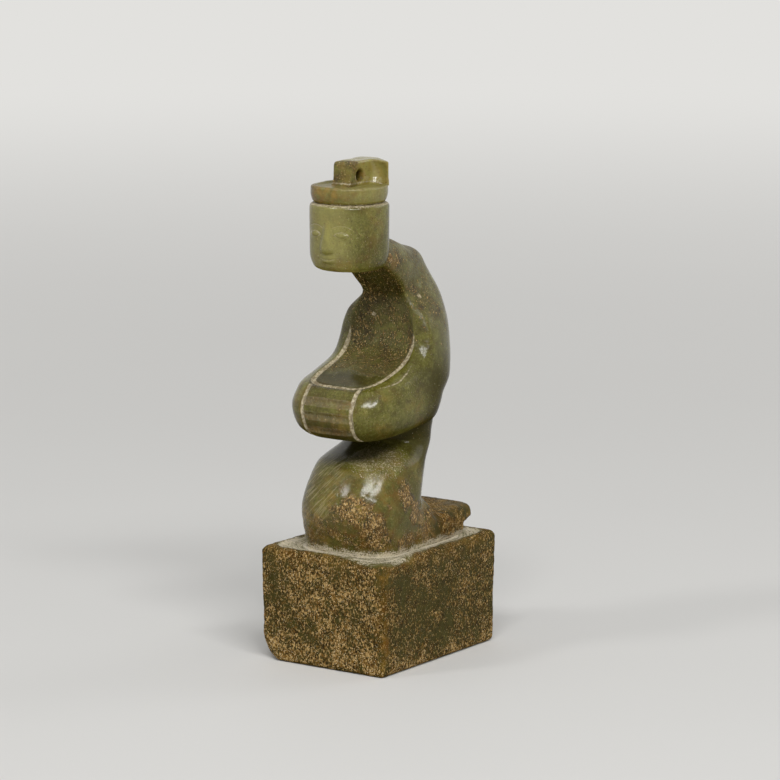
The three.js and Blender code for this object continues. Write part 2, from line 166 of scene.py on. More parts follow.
def noise(place, scale, detail=3.0, rough=0.55, distortion=0.0):
    return node(tree_of(place), "ShaderNodeTexNoise", Vector=place, Scale=scale, Detail=detail,
                Roughness=rough, Distortion=distortion).outputs["Fac"]


add, less, times, most, least = (
    partial(calc, operation) for operation in ("ADD", "SUBTRACT", "MULTIPLY", "MAXIMUM", "MINIMUM"))
print("jade green in linear values:", [round(value, 3) for value in tone(120, 120, 68)])

# %% [markdown]
# The seal stands on a plain pale floor. Four soft boxes and an even pale surround light it. The
# stone is polished, so it mirrors the boxes: their places decide where the white glints fall on
# the shoulder, the sleeve and the knees. The surround is bright only where it is seen directly
# or in a reflection, and the floor runs out into the same tone, so neither washes out the stone.

# %% Floor and light
scene.view_settings.view_transform = "Standard"
PALE = tone(226, 225, 222)
FILL = 0.22
LAMP_DISTANCE = 1.6


def seen_directly(tree):
    """1 for what the camera sees itself, in a mirroring surface or through glass."""
    rays = node(tree, "ShaderNodeLightPath").outputs
    return most(most(rays["Is Camera Ray"], rays["Is Glossy Ray"]), rays["Is Transmission Ray"])


world = bpy.data.worlds.new("studio_surround")
world.use_nodes = True
scene.world = world
surround = world.node_tree
surround.nodes.clear()
seen_light = node(surround, "ShaderNodeBackground", Color=PALE, Strength=1.0)
fill_light = node(surround, "ShaderNodeBackground", Color=(1, 1, 1, 1), Strength=FILL)
mixed = node(surround, "ShaderNodeMixShader", Fac=seen_directly(surround), in_1=fill_light, in_2=seen_light)
node(surround, "ShaderNodeOutputWorld", Surface=mixed)


def soft_box(name, direction, wide, high, share):
    """A lamp aimed at the figure. Share is how much of full light it gives there."""
    data = bpy.data.lights.new(name, "AREA")
    data.shape = "RECTANGLE"
    data.size = wide * LAMP_DISTANCE
    data.size_y = high * LAMP_DISTANCE
    data.energy = share * (math.pi * LAMP_DISTANCE) ** 2
    lamp = placed(name, data)
    towards = Vector(direction).normalized()
    lamp.location = view_centre + LAMP_DISTANCE * towards
    lamp.rotation_euler = towards.to_track_quat("Z", "Y").to_euler()
    print(name, "gives", share, "from", tuple(round(value, 2) for value in lamp.location))


soft_box("right_box", (0.66, -0.42, 0.62), 0.42, 0.13, 0.4)
soft_box("front_box", (0.34, -0.6, 0.7), 0.4, 0.13, 0.4)
soft_box("left_box", (-0.38, -0.7, 0.61), 0.16, 0.16, 0.13)
soft_box("rear_box", (0.5, 0.8, 0.5), 0.4, 0.4, 0.1)

FLOOR_HALF = 3.0
floor_material = bpy.data.materials.new("pale_floor")
floor_material.use_nodes = True
floor_tree = floor_material.node_tree
on_floor = node(floor_tree, "ShaderNodeTexCoord").outputs["Object"]
mottle = noise(on_floor, 9.0, 2.0, 0.5)
floor_shader = floor_tree.nodes["Principled BSDF"]
floor_shader.inputs["Roughness"].default_value = 0.7
floor_tree.links.new(mix(mottle, tone(221, 220, 217), PALE), floor_shader.inputs["Base Color"])
from_seal = node(floor_tree, "ShaderNodeVectorMath", {"operation": "LENGTH"}, in_0=on_floor)
far_off = soft_step(from_seal.outputs["Value"], 0.12, 0.9)
run_out = times(far_off, seen_directly(floor_tree))
far_floor = node(floor_tree, "ShaderNodeEmission", Color=PALE)
whole_floor = node(floor_tree, "ShaderNodeMixShader", Fac=run_out, in_1=floor_shader, in_2=far_floor)
floor_tree.links.new(whole_floor.outputs[0], floor_tree.nodes["Material Output"].inputs["Surface"])
floor_mesh = bpy.data.meshes.new("floor")
corners = [(-1, -1), (1, -1), (1, 1), (-1, 1)]
floor_mesh.from_pydata([(FLOOR_HALF * x, FLOOR_HALF * y, 0) for x, y in corners], [], [(0, 1, 2, 3)])
floor_mesh.materials.append(floor_material)
floor = placed("floor", floor_mesh)
floor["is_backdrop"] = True

# %% [markdown]
# A carver starts from a blank and takes stone away. Here a blank is a box of small cells, and each
# cell holds its distance to the surface: below zero is stone, above zero is air. Two forms are
# joined by the smaller of their distances and cut by the larger. With a soft edge in that choice
# the join gets a small fillet, as a grinding wheel leaves it. Mesh Booleans alone would leave
# hard creases and would trip over touching faces.


# %% Blanks
NARROW_BAND = 6
BODY_CELL, FINE_CELL = 0.22, 0.125


def corner_shares(part):
    """The eight corners of a cell, each with its share in a value that is read between them."""
    for corner in product((0, 1), repeat=3):
        yield corner, np.prod(np.where(corner, part, 1 - part), axis=1)


class Blank:
    """A box of cells that holds a form as distances, in millimetres."""

    def __init__(self, low, high, cell):
        self.cell = cell
        self.first = np.floor(np.array(low) / cell).astype(int)
        self.shape = tuple(np.ceil(np.array(high) / cell).astype(int) - self.first + 1)
        self.reach = NARROW_BAND * cell
        self.corner = tuple(int(value) for value in self.first)
        self.transform = vdb.createLinearTransform(voxelSize=cell)

    def places(self):
        """The x, y and z of the cells, shaped so that they spread out over the whole box."""
        x, y, z = (self.cell * (self.first[k] + np.arange(self.shape[k])) for k in range(3))
        return (x[:, None, None].astype(np.float32), y[None, :, None].astype(np.float32),
                z[None, None, :].astype(np.float32))

    def field(self, points, triangles):
        """Distances to a closed skin of triangles."""
        grid = vdb.FloatGrid.createLevelSetFromPolygons(
            np.asarray(points, np.float32), triangles=np.asarray(triangles, np.uint32),
            transform=self.transform, halfWidth=float(NARROW_BAND))
        values = np.full(self.shape, self.reach, np.float32)
        grid.copyToArray(values, ijk=self.corner)
        return values

    def skin(self, field):
        """Points and four-sided faces on the surface of a field."""
        grid = vdb.FloatGrid()
        grid.background = self.reach
        clipped = np.ascontiguousarray(np.clip(field, -self.reach, self.reach), np.float32)
        grid.copyFromArray(clipped, ijk=self.corner)
        grid.transform = self.transform
        return grid.convertToQuads(0.0)

    def depth(self, field, points):
        """The field's value at each point, read between the cells."""
        place = np.asarray(points) / self.cell - self.first
        place = np.clip(place, 0, np.array(self.shape) - 1.001)
        base = place.astype(int)
        return sum(share * field[tuple((base + corner).T)] for corner, share in corner_shares(place - base))


def join(a, b, soft):
    share = np.clip(0.5 + 0.5 * (b - a) / soft, 0, 1)
    return b + (a - b) * share - soft * share * (1 - share)


def cut(a, b, soft):
    return -join(-a, b, soft)


def meet(a, b, soft):
    return -join(-a, -b, soft)


def ease(field, spread):
    """Rounds a form by averaging each cell with its neighbours."""
    steps = np.arange(-3, 4)
    weights = np.exp(-0.5 * (steps / spread) ** 2)
    weights = weights / weights.sum()
    for axis in range(3):
        field = sum(weight * np.roll(field, int(step), axis) for step, weight in zip(steps, weights))
    return field


test_blank = Blank((-2, -2, -2), (2, 2, 2), 0.2)
print("a 4 mm blank has", test_blank.shape, "cells")

# %% [markdown]
# Most of the figure is a run of ovals with a smooth skin over them, like the ribs and planks of a boat. A few
# ovals are given. The values between them are drawn so that none swings past its neighbours, and a squareness
# makes an oval fuller at its corners, like a cushion.


# %% Ovals and the skin over them
def between(sections, count):
    """Many smooth in-between sections from a few named ones."""
    keys = list(sections[0])
    table = np.array([[section[key] for key in keys] for section in sections], float)
    steps = np.abs(np.diff(table, axis=0))
    steps[:, keys.index("lean")] /= 10
    stops = np.concatenate([[0], np.cumsum(steps.max(axis=1))])
    slopes = np.diff(table, axis=0) / np.diff(stops)[:, None]
    product_of_both = slopes[:-1] * slopes[1:]
    total = slopes[:-1] + slopes[1:]
    middle = np.where(product_of_both > 0, 2 * product_of_both / np.where(total == 0, 1, total), 0)
    tangents = np.vstack([slopes[:1], middle, slopes[-1:]])
    at = np.linspace(0, stops[-1], count)
    i = np.clip(np.searchsorted(stops, at, side="right") - 1, 0, len(sections) - 2)
    span = (stops[i + 1] - stops[i])[:, None]
    u = (at - stops[i])[:, None] / span
    values = ((2 * u ** 3 - 3 * u ** 2 + 1) * table[i] + (u ** 3 - 2 * u ** 2 + u) * span * tangents[i]
              + (3 * u ** 2 - 2 * u ** 3) * table[i + 1] + (u ** 3 - u ** 2) * span * tangents[i + 1])
    return {key: values[:, k] for k, key in enumerate(keys)}


def loft(sections, rings=160, around=160):
    """Points and triangles of a closed skin over a run of ovals."""
    at = {key: column[:, None] for key, column in between(sections, rings).items()}
    angle = np.linspace(0, 2 * np.pi, around, endpoint=False)[None, :]
    across, along = np.cos(angle), np.sin(angle)
    power = np.where(along < 0, at["square_front"], at["square_back"])
    reach = (np.abs(across) ** power + np.abs(along) ** power) ** (-1 / power)
    depth = along * reach * np.where(along < 0, at["front"], at["back"])
    lean = np.radians(at["lean"])
    x = across * reach * at["half_width"]
    y = at["y"] + depth * np.cos(lean)
    z = at["z"] + depth * np.sin(lean)
    points = np.stack([x, y, z], axis=-1).reshape(-1, 3)
    ends = [points[:around].mean(axis=0), points[-around:].mean(axis=0)]
    row = np.arange(around)
    after = (row + 1) % around
    faces = []
    for i in range(rings - 1):
        a, b = i * around + row, i * around + after
        faces += [np.stack([a, b, b + around], 1), np.stack([a, b + around, a + around], 1)]
    top = (rings - 1) * around
    low_end, high_end = len(points), len(points) + 1
    faces.append(np.stack([np.full(around, low_end), after, row], 1))
    faces.append(np.stack([np.full(around, high_end), top + row, top + after], 1))
    return np.vstack([points, ends]), np.vstack(faces)


def oval(y, z, half_width, front, back, square_front, square_back, lean=0):
    return {"y": y, "z": z, "lean": lean, "half_width": half_width, "front": front, "back": back,
            "square_front": square_front, "square_back": square_back}


# %% [markdown]
# The carver draws every line with a small wheel that runs along the stone. A Geometry Nodes tree
# does the same: it takes a path, sweeps a round tool along it and lets the tool lift out at both
# ends. The result is a solid that is cut from the blank. A path is first settled onto the
# surface, so a line keeps its depth wherever it turns.


# %% Tool lines with Geometry Nodes
def geometry_tree(name, inputs):
    """A tree with named inputs. The values are (socket type, default)."""
    tree = bpy.data.node_groups.new(name, "GeometryNodeTree")
    tree.interface.new_socket("Geometry", in_out="INPUT", socket_type="NodeSocketGeometry")
    for label, (kind, default) in inputs.items():
        socket = tree.interface.new_socket(label, in_out="INPUT", socket_type="NodeSocket" + kind)
        socket.default_value = default
    tree.interface.new_socket("Geometry", in_out="OUTPUT", socket_type="NodeSocketGeometry")
    return tree, node(tree, "NodeGroupInput").outputs


def end_tree(tree, result, material):
    """Every tree ends in Realize Instances and Set Material."""
    real = node(tree, "GeometryNodeRealizeInstances", Geometry=result)
    made = node(tree, "GeometryNodeSetMaterial", Geometry=real, Material=material)
    node(tree, "NodeGroupOutput", Geometry=made)


def evaluated(item):
    """A plain mesh of an object as its modifiers leave it."""
    return bpy.data.meshes.new_from_object(item.evaluated_get(bpy.context.evaluated_depsgraph_get()))


def grow(source, tree, **values):
    """Runs a tree on an object's data and gives back a plain mesh."""
    holder = placed("holder", source)
    modifier = holder.modifiers.new(tree.name, "NODES")
    modifier.node_group = tree
    labels = {item.name: item.identifier for item in tree.interface.items_tree if item.in_out == "INPUT"}
    for label, value in values.items():
        modifier[labels[label.replace("_", " ")]] = value
    mesh = evaluated(holder)
    holder.modifiers.remove(modifier)
    bpy.data.objects.remove(holder)
    return mesh


def read(rows, label, kind):
    """One set of three numbers for each row of a mesh's data."""
    values = np.zeros(3 * len(rows), kind)
    rows.foreach_get(label, values)
    return values.reshape(-1, 3)


def triangles_of(mesh):
    """A mesh's points in millimetres and its triangles."""
    mesh.calc_loop_triangles()
    return (read(mesh.vertices, "co", np.float32) / MILLIMETRE,
            read(mesh.loop_triangles, "vertices", np.int32))


TIP_SHARE = 0.15
tool_material = bpy.data.materials.new("cutting_tool")
wheel_tree, wheel_in = geometry_tree("wheel_line", {
    "Radius": ("Float", 0.0004), "Taper": ("Float", 0.1), "Steps": ("Int", 90), "Sides": ("Int", 16),
})
path_points = node(wheel_tree, "GeometryNodeResampleCurve",
                   Curve=wheel_in["Geometry"], Count=wheel_in["Steps"])
run = node(wheel_tree, "GeometryNodeSplineParameter")
to_end = least(run, less(1.0, run))
full = most(calc("DIVIDE", to_end, wheel_in["Taper"], clamp=True), TIP_SHARE)
wheel_rim = node(wheel_tree, "GeometryNodeCurvePrimitiveCircle",
                 Radius=wheel_in["Radius"], Resolution=wheel_in["Sides"])
swept = node(wheel_tree, "GeometryNodeCurveToMesh", Curve=path_points, Profile_Curve=wheel_rim,
             Scale=full, Fill_Caps=True)
end_tree(wheel_tree, swept, tool_material)


def smooth_path(points, steps=12):
    """A smooth line through a few points."""
    p = np.array(points, float)
    p = np.vstack([2 * p[0] - p[1], p, 2 * p[-1] - p[-2]])
    u = np.linspace(0, 1, steps, endpoint=False)[:, None]
    path = []
    for a, b, c, d in zip(p[:-3], p[1:-2], p[2:-1], p[3:]):
        path.append(b + 0.5 * u * (c - a + u * (2 * a - 5 * b + 4 * c - d + u * (3 * (b - c) + d - a))))
    return np.vstack(path + [p[-2:-1]])


def settle(path, blank, field, lift=0.0):
    """Moves a path onto the surface of a form."""
    path = np.array(path, float)
    for _ in range(6):
        here = blank.depth(field, path)
        slope = np.stack([
            blank.depth(field, path + blank.cell * side) - blank.depth(field, path - blank.cell * side)
            for side in np.eye(3)
        ], axis=1)
        slope /= np.maximum(np.linalg.norm(slope, axis=1), 1e-6)[:, None]
        path -= (here - lift)[:, None] * slope
    return path


def path_curve(name, path):
    """A path as a curve that a Geometry Nodes tree can follow."""
    data = bpy.data.curves.new(name, "CURVE")
    data.dimensions = "3D"
    spline = data.splines.new("POLY")
    spline.points.add(len(path) - 1)
    for point, place in zip(spline.points, path):
        point.co = (*(float(value) * MILLIMETRE for value in place), 1)
    return data


def wheel_cut(path, radius, taper=0.08):
    """Points and triangles of the tool swept along a path."""
    mesh = grow(path_curve("path", path), wheel_tree, Radius=radius * MILLIMETRE, Taper=taper)
    return triangles_of(mesh)


def mirrored(path):
    return np.array(path) * (-1, 1, 1)


print("tool lines have these inputs:", [item.name for item in wheel_tree.interface.items_tree])

# %% [markdown]
# Old stone isn't evenly smooth. Its small dents and lumps come from chance that is fixed by a
# seed, so they are the same each time. Two kinds are enough: rolling lumps, and cells, whose
# centres become pits.


# %% Chance that stays the same
def scramble(cells, seed):
    """One random number from 0 to 1 for each whole-numbered cell."""
    table = np.random.default_rng(seed).uniform(0, 1, 8192)
    mixed_up = cells[:, 0] * 73856093 ^ cells[:, 1] * 19349663 ^ cells[:, 2] * 83492791
    return table[mixed_up % 8192]


def lumps(points, size, seed):
    """Rolling values from -1 to 1, about one size across."""
    place = np.asarray(points, float) / size
    base = np.floor(place).astype(np.int64)
    part = place - base
    part = part * part * (3 - 2 * part)
    return 2 * sum(share * scramble(base + corner, seed) for corner, share in corner_shares(part)) - 1


def pits(points, size, seed):
    """1 at the middle of a pit and 0 away from it. Pits differ in size and place."""
    place = np.asarray(points, float) / size
    base = np.floor(place).astype(np.int64)
    deepest = np.zeros(len(place))
    for step in product((-1, 0, 1), repeat=3):
        cell = base + step
        centre = cell + np.stack([scramble(cell, seed + k) for k in range(3)], axis=1)
        width = 0.2 + 0.5 * scramble(cell, seed + 3)
        gap = np.linalg.norm(place - centre, axis=1)
        deepest = np.maximum(deepest, np.clip(1 - gap / width, 0, 1) * width / 0.7)
    return deepest


def fade(value, start, end):
    """0 at start, 1 at end, with a soft run between."""
    share = np.clip((value - start) / (end - start), 0, 1)
    return share * share * (3 - 2 * share)


def fall(value, start, end):
    """1 at start, 0 at end, with a soft run between."""
    return 1 - fade(value, start, end)


def gap_to(points, path, half_widths):
    """Each point's distance to a line of straight steps that has a width at each step."""
    nearest = np.full(len(points), 1e3)
    for a, b, half_width in zip(path[:-1], path[1:], half_widths):
        along = b - a
        share = np.clip((points - a) @ along / max(along @ along, 1e-9), 0, 1)
        gap = np.linalg.norm(points - a - share[:, None] * along, axis=1)
        nearest = np.minimum(nearest, gap - half_width)
    return nearest


def from_egg(axes, centre, radii):
    """Distance of cells from the middle of an egg shape, in shares of its radii."""
    return np.sqrt(sum(((axis - c) / r) ** 2 for axis, c, r in zip(axes, centre, radii)))


def blob(points, centre, radii):
    """The same for a list of points: 1 is the egg's edge."""
    return np.linalg.norm((points - np.array(centre)) / np.array(radii), axis=1)

def near(points, centre, radii, start, end, *shakes):
    """1 inside a soft egg shape and 0 outside. A shake of its border is (amount, size, seed)."""
    edge = blob(points, centre, radii)
    for amount, size, seed in shakes:
        edge = edge + amount * lumps(points, size, seed)
    return fall(edge, start, end)


sample = np.random.default_rng(1).uniform(0, 20, (2000, 3))
print("lumps run from", lumps(sample, 2, 3).min().round(2), "to", lumps(sample, 2, 3).max().round(2))

# %% [markdown]
# The block is one oblong, drawn in a little towards its printing side, with worn edges. Its top
# has a shallow track that a wheel ground round the figure's foot, inside a rim that was left
# standing. One lower corner has been knocked round. The underside has a border and a lattice
# that stand in a sunk field.

# %% Block
BLOCK_WIDTH, BLOCK_DEPTH, BLOCK_HEIGHT = 24.5, 32, 18.8
BLOCK_TAPER = 0.4
CORNER_ROUND = 0.7
EDGE_ROUND = 0.6
RIM = 1.4
TRACK_DEPTH = 0.6
FACE_THICKNESS = 2.6
KNOCKED_DEPTH = 1.5
foot_z = BLOCK_HEIGHT - TRACK_DEPTH


def oblong(x, y, width, depth, radius):
    """Distance to an oblong with round corners, seen from above."""
    over_x = np.abs(x) - (width / 2 - radius)
    over_y = np.abs(y) - (depth / 2 - radius)
    outside = np.hypot(np.maximum(over_x, 0), np.maximum(over_y, 0))
    return outside + np.minimum(np.maximum(over_x, over_y), 0) - radius

def rim_gap(x, y):
    """Distance to the inner side of the rim that was left standing round the track."""
    return oblong(x, y, BLOCK_WIDTH - 2 * RIM, BLOCK_DEPTH - 2 * RIM, 2 * RIM)


block_blank = Blank((-13.4, -17.2, -1.2), (13.4, 17.2, 20), BODY_CELL)
x, y, z = block_blank.places()
drawn_in = 1 - 2 * BLOCK_TAPER * (1 - z / BLOCK_HEIGHT) / BLOCK_WIDTH
sides = oblong(x / drawn_in, y, BLOCK_WIDTH, BLOCK_DEPTH, CORNER_ROUND)
ends = np.maximum(z - BLOCK_HEIGHT, -z) + 0 * x
block = meet(sides, ends, 2 * EDGE_ROUND)
track_sides = rim_gap(x, y)
worn_corner = fade(x - y, 20.5, 25.5)
slope_in = foot_z + (0.35 - 0.2 * worn_corner) * np.clip(1 + track_sides / 2.2, 0, 1) ** 2
block = cut(block, np.maximum(track_sides - 2.4 * worn_corner, slope_in - z), 0.5)
knocked = from_egg((x, y, z), (-12.2, -16, 0), (3.4, 3.4, 4.4))
block = block + KNOCKED_DEPTH * fall(knocked, 0, 1)
print("block blank has", block.size, "cells")

# %% [markdown]
# The printing side's lattice repeats, so a small Geometry Nodes tree lays it: one bar, copied
# along a line with an even pitch, turned one way and then the other. The bars are kept when
# the field between them is cut. Drawing each bar by hand would hide the rule that makes it.

# %% Lattice of the printing side
ENGRAVING_DEPTH = 0.8
BORDER = 1.5
lattice_tree, lattice_in = geometry_tree("lattice", {
    "Pitch": ("Float", 0.0052), "Bar": ("Float", 0.0009), "Length": ("Float", 0.04),
    "Height": ("Float", 0.004), "Turn": ("Float", 0.61), "Count": ("Int", 9),
})
bar_size = node(lattice_tree, "ShaderNodeCombineXYZ", X=lattice_in["Bar"], Y=lattice_in["Length"],
                Z=lattice_in["Height"])
bar = node(lattice_tree, "GeometryNodeMeshCube", Size=bar_size)
half_run = times(less(lattice_in["Count"], 1.0), -0.5)
start_at = node(lattice_tree, "ShaderNodeCombineXYZ", X=times(half_run, lattice_in["Pitch"]))
step_by = node(lattice_tree, "ShaderNodeCombineXYZ", X=lattice_in["Pitch"])
row_of_points = node(lattice_tree, "GeometryNodeMeshLine", Count=lattice_in["Count"],
                     Start_Location=start_at, Offset=step_by)
row_of_bars = node(lattice_tree, "GeometryNodeInstanceOnPoints", Points=row_of_points, Instance=bar)
both_ways = node(lattice_tree, "GeometryNodeJoinGeometry")
for sign in (-1.0, 1.0):
    about_z = node(lattice_tree, "ShaderNodeCombineXYZ", Z=times(lattice_in["Turn"], sign))
    turned = node(lattice_tree, "GeometryNodeTransform", Geometry=row_of_bars, Rotation=about_z)
    lattice_tree.links.new(turned.outputs[0], both_ways.inputs[0])
end_tree(lattice_tree, both_ways, tool_material)
lattice_mesh = grow(bpy.data.meshes.new("lattice"), lattice_tree, Turn=math.radians(35))
lattice = block_blank.field(*triangles_of(lattice_mesh))
recess = oblong(x, y, BLOCK_WIDTH - 2 * BLOCK_TAPER - 2 * BORDER, BLOCK_DEPTH - 2 * BORDER, 1.1)
recess = np.maximum(recess, z - ENGRAVING_DEPTH)
block = cut(block, cut(recess, lattice, 0.15), 0.2)
print("lattice of", len(lattice_mesh.polygons) // 6, "bars")

# %% [markdown]
# The figure is one flowing body, so it is carved from one blank: the robe over the knees, the feet
# behind it, and one sweep for sleeves, lap, back and neck, whose ovals tip forward as they
# rise. Soft joins give the robe its natural fold under the sleeves.

# %% Robe and feet
ROBE_HEIGHT = 17.3
waist_z = foot_z + ROBE_HEIGHT
FOOT_HALF, FOOT_FRONT = 8.7, 12
WAIST_HALF, WAIST_FRONT, WAIST_BACK = 6.8, 2.2, 8.2
WAIST_FLARE = 0.7
BURIED = 0.5


def robe_oval(up, middle, half_width, front, back, square):
    return oval(-middle, foot_z + up, half_width, front - middle, back + middle, square, square)


waist_middle = (WAIST_FRONT - WAIST_BACK) / 2
knees = robe_oval(6.6, 4, 9.2, 13.8, 2.6, 2.6)
robe = loft([
    robe_oval(-BURIED, 3.5, FOOT_HALF, FOOT_FRONT, 3.2, 3.2),
    robe_oval(0, 3.5, FOOT_HALF, FOOT_FRONT, 3.2, 3.2),
    knees,
    robe_oval(13.34, 1.4, 8.4, 10.8, 4.6, 2.5),
    robe_oval(ROBE_HEIGHT, waist_middle, WAIST_HALF, WAIST_FRONT, WAIST_BACK, 2.4),
    robe_oval(ROBE_HEIGHT + 3.9, waist_middle, WAIST_HALF + WAIST_FLARE, WAIST_FRONT, WAIST_BACK, 2.4),
])
FEET_HALF = 8.8
FEET_END = 15.6
UNDERCUT_REACH, UNDERCUT_HEIGHT = 2.8, 2.4


def foot_oval(y, half_width, top, square=4):
    return oval(y, foot_z + 1, half_width, 2, top - 1, 4, square, lean=90)


feet = loft([
    foot_oval(FEET_END + 0.8, FEET_HALF - 1.4, 4.5, 9),
    foot_oval(4.4, FEET_HALF, 4.6, 5),
    foot_oval(2.2, FEET_HALF, 8.1),
    foot_oval(-4, FEET_HALF - 1.8, 6.6),
])
figure_blank = Blank((-11.2, -16.6, 17), (11.2, 17.2, 68.6), BODY_CELL)
x, y, z = figure_blank.places()
legs = join(figure_blank.field(*robe), figure_blank.field(*feet), 1.6)
legs = ease(legs, 1.6)
thinner = 0.3 * np.clip(FEET_END - y, 0, UNDERCUT_REACH) / UNDERCUT_REACH
slope_under = z - foot_z - UNDERCUT_HEIGHT * (1 - thinner)
tips_space = np.maximum(FEET_END - UNDERCUT_REACH - y, slope_under) + 0 * x
legs = cut(legs, tips_space, 0.25)
legs = meet(legs, y - FEET_END + 0 * x + 0 * z, 0.25)
legs = meet(legs, foot_z - BURIED - z + 0 * x + 0 * y, 0.2)
print("robe and feet from", legs.shape, "cells")

# %% [markdown]
# The sleeves, the lap, the round back and the bowed neck are one sweep of thirteen ovals. The
# lower ones are wide and square in front, for the joined sleeves. The upper ones are narrow and
# lean, so that the neck runs forward into the head.

# %% Upper body
SLEEVE_GAP = 1.5
SLEEVE_HEIGHT = 8.8
SLEEVE_HALF, SLEEVE_FRONT = 10, 15
SHOULDER_HALF = 8.9
BACK_DEPTH = 13.2
BODY_MIDDLE = 2
SLEEVE_MIDDLE = 0.8
NECK_HALF = 4.6
NECK_LEAN = 54
HEAD_RADIUS, HEAD_FORWARD, HEAD_HEIGHT = 6.1, 8.3, 10.7
sleeve_z = waist_z + SLEEVE_GAP
lap_z = sleeve_z + SLEEVE_HEIGHT
shoulder_z = sleeve_z + 18.4
chin_z = waist_z + 28.4
front = SLEEVE_FRONT + BODY_MIDDLE
back = BACK_DEPTH - BODY_MIDDLE
neck_y = HEAD_RADIUS - HEAD_FORWARD


def body_oval(z, lean, half_width, forward, behind, square, y=BODY_MIDDLE):
    return oval(y, z, half_width, forward, behind, square, 2.2, lean)


body_run = [
    body_oval(sleeve_z + 0.8, 7, SLEEVE_HALF - 3.8, front - 7.6, back - 4.8, 3, SLEEVE_MIDDLE + 0.4),
    body_oval(sleeve_z + 1.4, 7, SLEEVE_HALF - 1.7, front - 3.7, back - 3.9, 3.4, SLEEVE_MIDDLE + 0.4),
    body_oval(sleeve_z + SLEEVE_HEIGHT * 0.36, 6, SLEEVE_HALF - 0.4, front - 1.9, back - 3.7, 3.8,
              SLEEVE_MIDDLE),
    body_oval(sleeve_z + SLEEVE_HEIGHT * 0.6, 2, SLEEVE_HALF, front - 1.2, back - 3, 4, SLEEVE_MIDDLE),
    body_oval(sleeve_z + SLEEVE_HEIGHT * 0.9, 0, SLEEVE_HALF - 0.2, front - 1.7, back - 1.2, 3.8),
    body_oval(lap_z + 0.7, 0, SLEEVE_HALF - 0.4, front - 6.2, back - 0.4, 3.4),
    body_oval(lap_z + 3, 2, SHOULDER_HALF + 0.5, 5.2, back, 2.3),
    body_oval(lap_z + 6.4, 6, SHOULDER_HALF, 2, back + 0.1, 2.1),
    body_oval(shoulder_z, 16, SHOULDER_HALF - 1.2, 1.7, back - 0.4, 2.2),
    body_oval(chin_z - 5, 30, SHOULDER_HALF - 4.6, 1, back - 1, 2.2, BODY_MIDDLE - 0.6),
    body_oval(chin_z - 1.9, NECK_LEAN - 10, NECK_HALF + 0.2, 1.8, back - 4.6, 2.2, neck_y + 1.8),
    body_oval(chin_z + 0.7, NECK_LEAN, NECK_HALF, 2, back - 6.4, 2.2, neck_y - 1.6),
    body_oval(chin_z + 2.6, NECK_LEAN + 14, NECK_HALF - 0.8, 1, back - 8.6, 2.2, neck_y - 4.4),
]
torso = ease(figure_blank.field(*loft(body_run, 220, 180)), 2.2)
body = join(torso, legs, 0.5)
print("sweep of", len(body_run), "ovals up to the neck")

# %% [markdown]
# The chest and the lap are dished between the sleeves. The same few points that carry the edge of
# the dish carry the line that the carver cut along it, so the line always follows the edge.

# %% Dished chest
LAP_HALF = 6.2
LAP_FRONT = SLEEVE_FRONT - 3
DISH_DEPTH = 1.3
dish_edge = [
    (0.1, LAP_FRONT - 1.2, LAP_HALF - 0.9), (0.6, LAP_FRONT - 3.5, LAP_HALF - 0.1),
    (1.5, LAP_FRONT - 6.6, LAP_HALF + 0.1), (2.9, LAP_FRONT - 9.9, LAP_HALF),
    (4.4, LAP_FRONT - 11.7, LAP_HALF - 0.1), (7.3, LAP_FRONT - 12.7, LAP_HALF - 0.3),
    (11.5, LAP_FRONT - 12.5, LAP_HALF - 1.2), (15, LAP_FRONT - 10.8, LAP_HALF - 2),
    (18.6, LAP_FRONT - 7.2, LAP_HALF - 2.6),
]
run_in = [(-0.4, LAP_FRONT + 1, LAP_HALF - 1.6)]
dish = ease(figure_blank.field(*loft([
    oval(-forward, lap_z + up, half, BLOCK_DEPTH, DISH_DEPTH, 8, 2.2)
    for up, forward, half in run_in + dish_edge
], 120, 120)), 2.4)
body = cut(body, dish, 0.6)
print("dish edge climbs", dish_edge[-1][0], "mm over the lap")

# %% [markdown]
# The lines on the robe: one runs round the dish and crosses the front of the lap, two run down
# beside the cuffs, and one stray scratch crosses the left sleeve.

# %% Lines on the robe
LINE_RADIUS = 0.38
side_line = [(half + 0.04 * up, -forward, lap_z + up) for up, forward, half in dish_edge[:6]][::-1]
lap_line = side_line + [(LAP_HALF / 2, -LAP_FRONT, lap_z)]
lap_line = lap_line + [(-px, py, pz) for px, py, pz in lap_line[::-1]]
cuff_line = [
    (4.75, -12.2, 45.62), (4.76, -13.4, 45.2), (4.82, -14.45, 43.91), (4.81, -14.76, 42.47),
    (4.72, -14.6, 40.59), (4.64, -14.1, 38.9), (4.6, -12.9, 37.5), (4.6, -11.4, 37),
]
stray_line = [(7.9, -2.2, 48.6), (8.35, -4.6, 47.2), (8.5, -6.9, 46.3), (8, -9, 45.8), (7.2, -10.6, 45.6)]
robe_lines = []
for name, points, radius, taper, filled in [
    ("lap", lap_line, LINE_RADIUS, 0.08, 0), ("cuff", cuff_line, 0.3, 0.03, 0),
    ("stray", stray_line, 0.1, 0.3, -0.03),
]:
    path = settle(smooth_path(points), figure_blank, body, 0.05)
    for way in [path, mirrored(path)] if name == "cuff" else [path]:
        body = cut(body, figure_blank.field(*wheel_cut(way, radius, taper)), 0.1)
        robe_lines.append((way, radius + filled, taper))
    print(name, "line is", np.linalg.norm(np.diff(path, axis=0), axis=1).sum().round(1), "mm long")

# %% [markdown]
# The cuffs are fluted: three shallow channels lie across them, evenly spaced down the front. A
# Geometry Nodes tree lays one round cutter at each step of a path that follows the front.

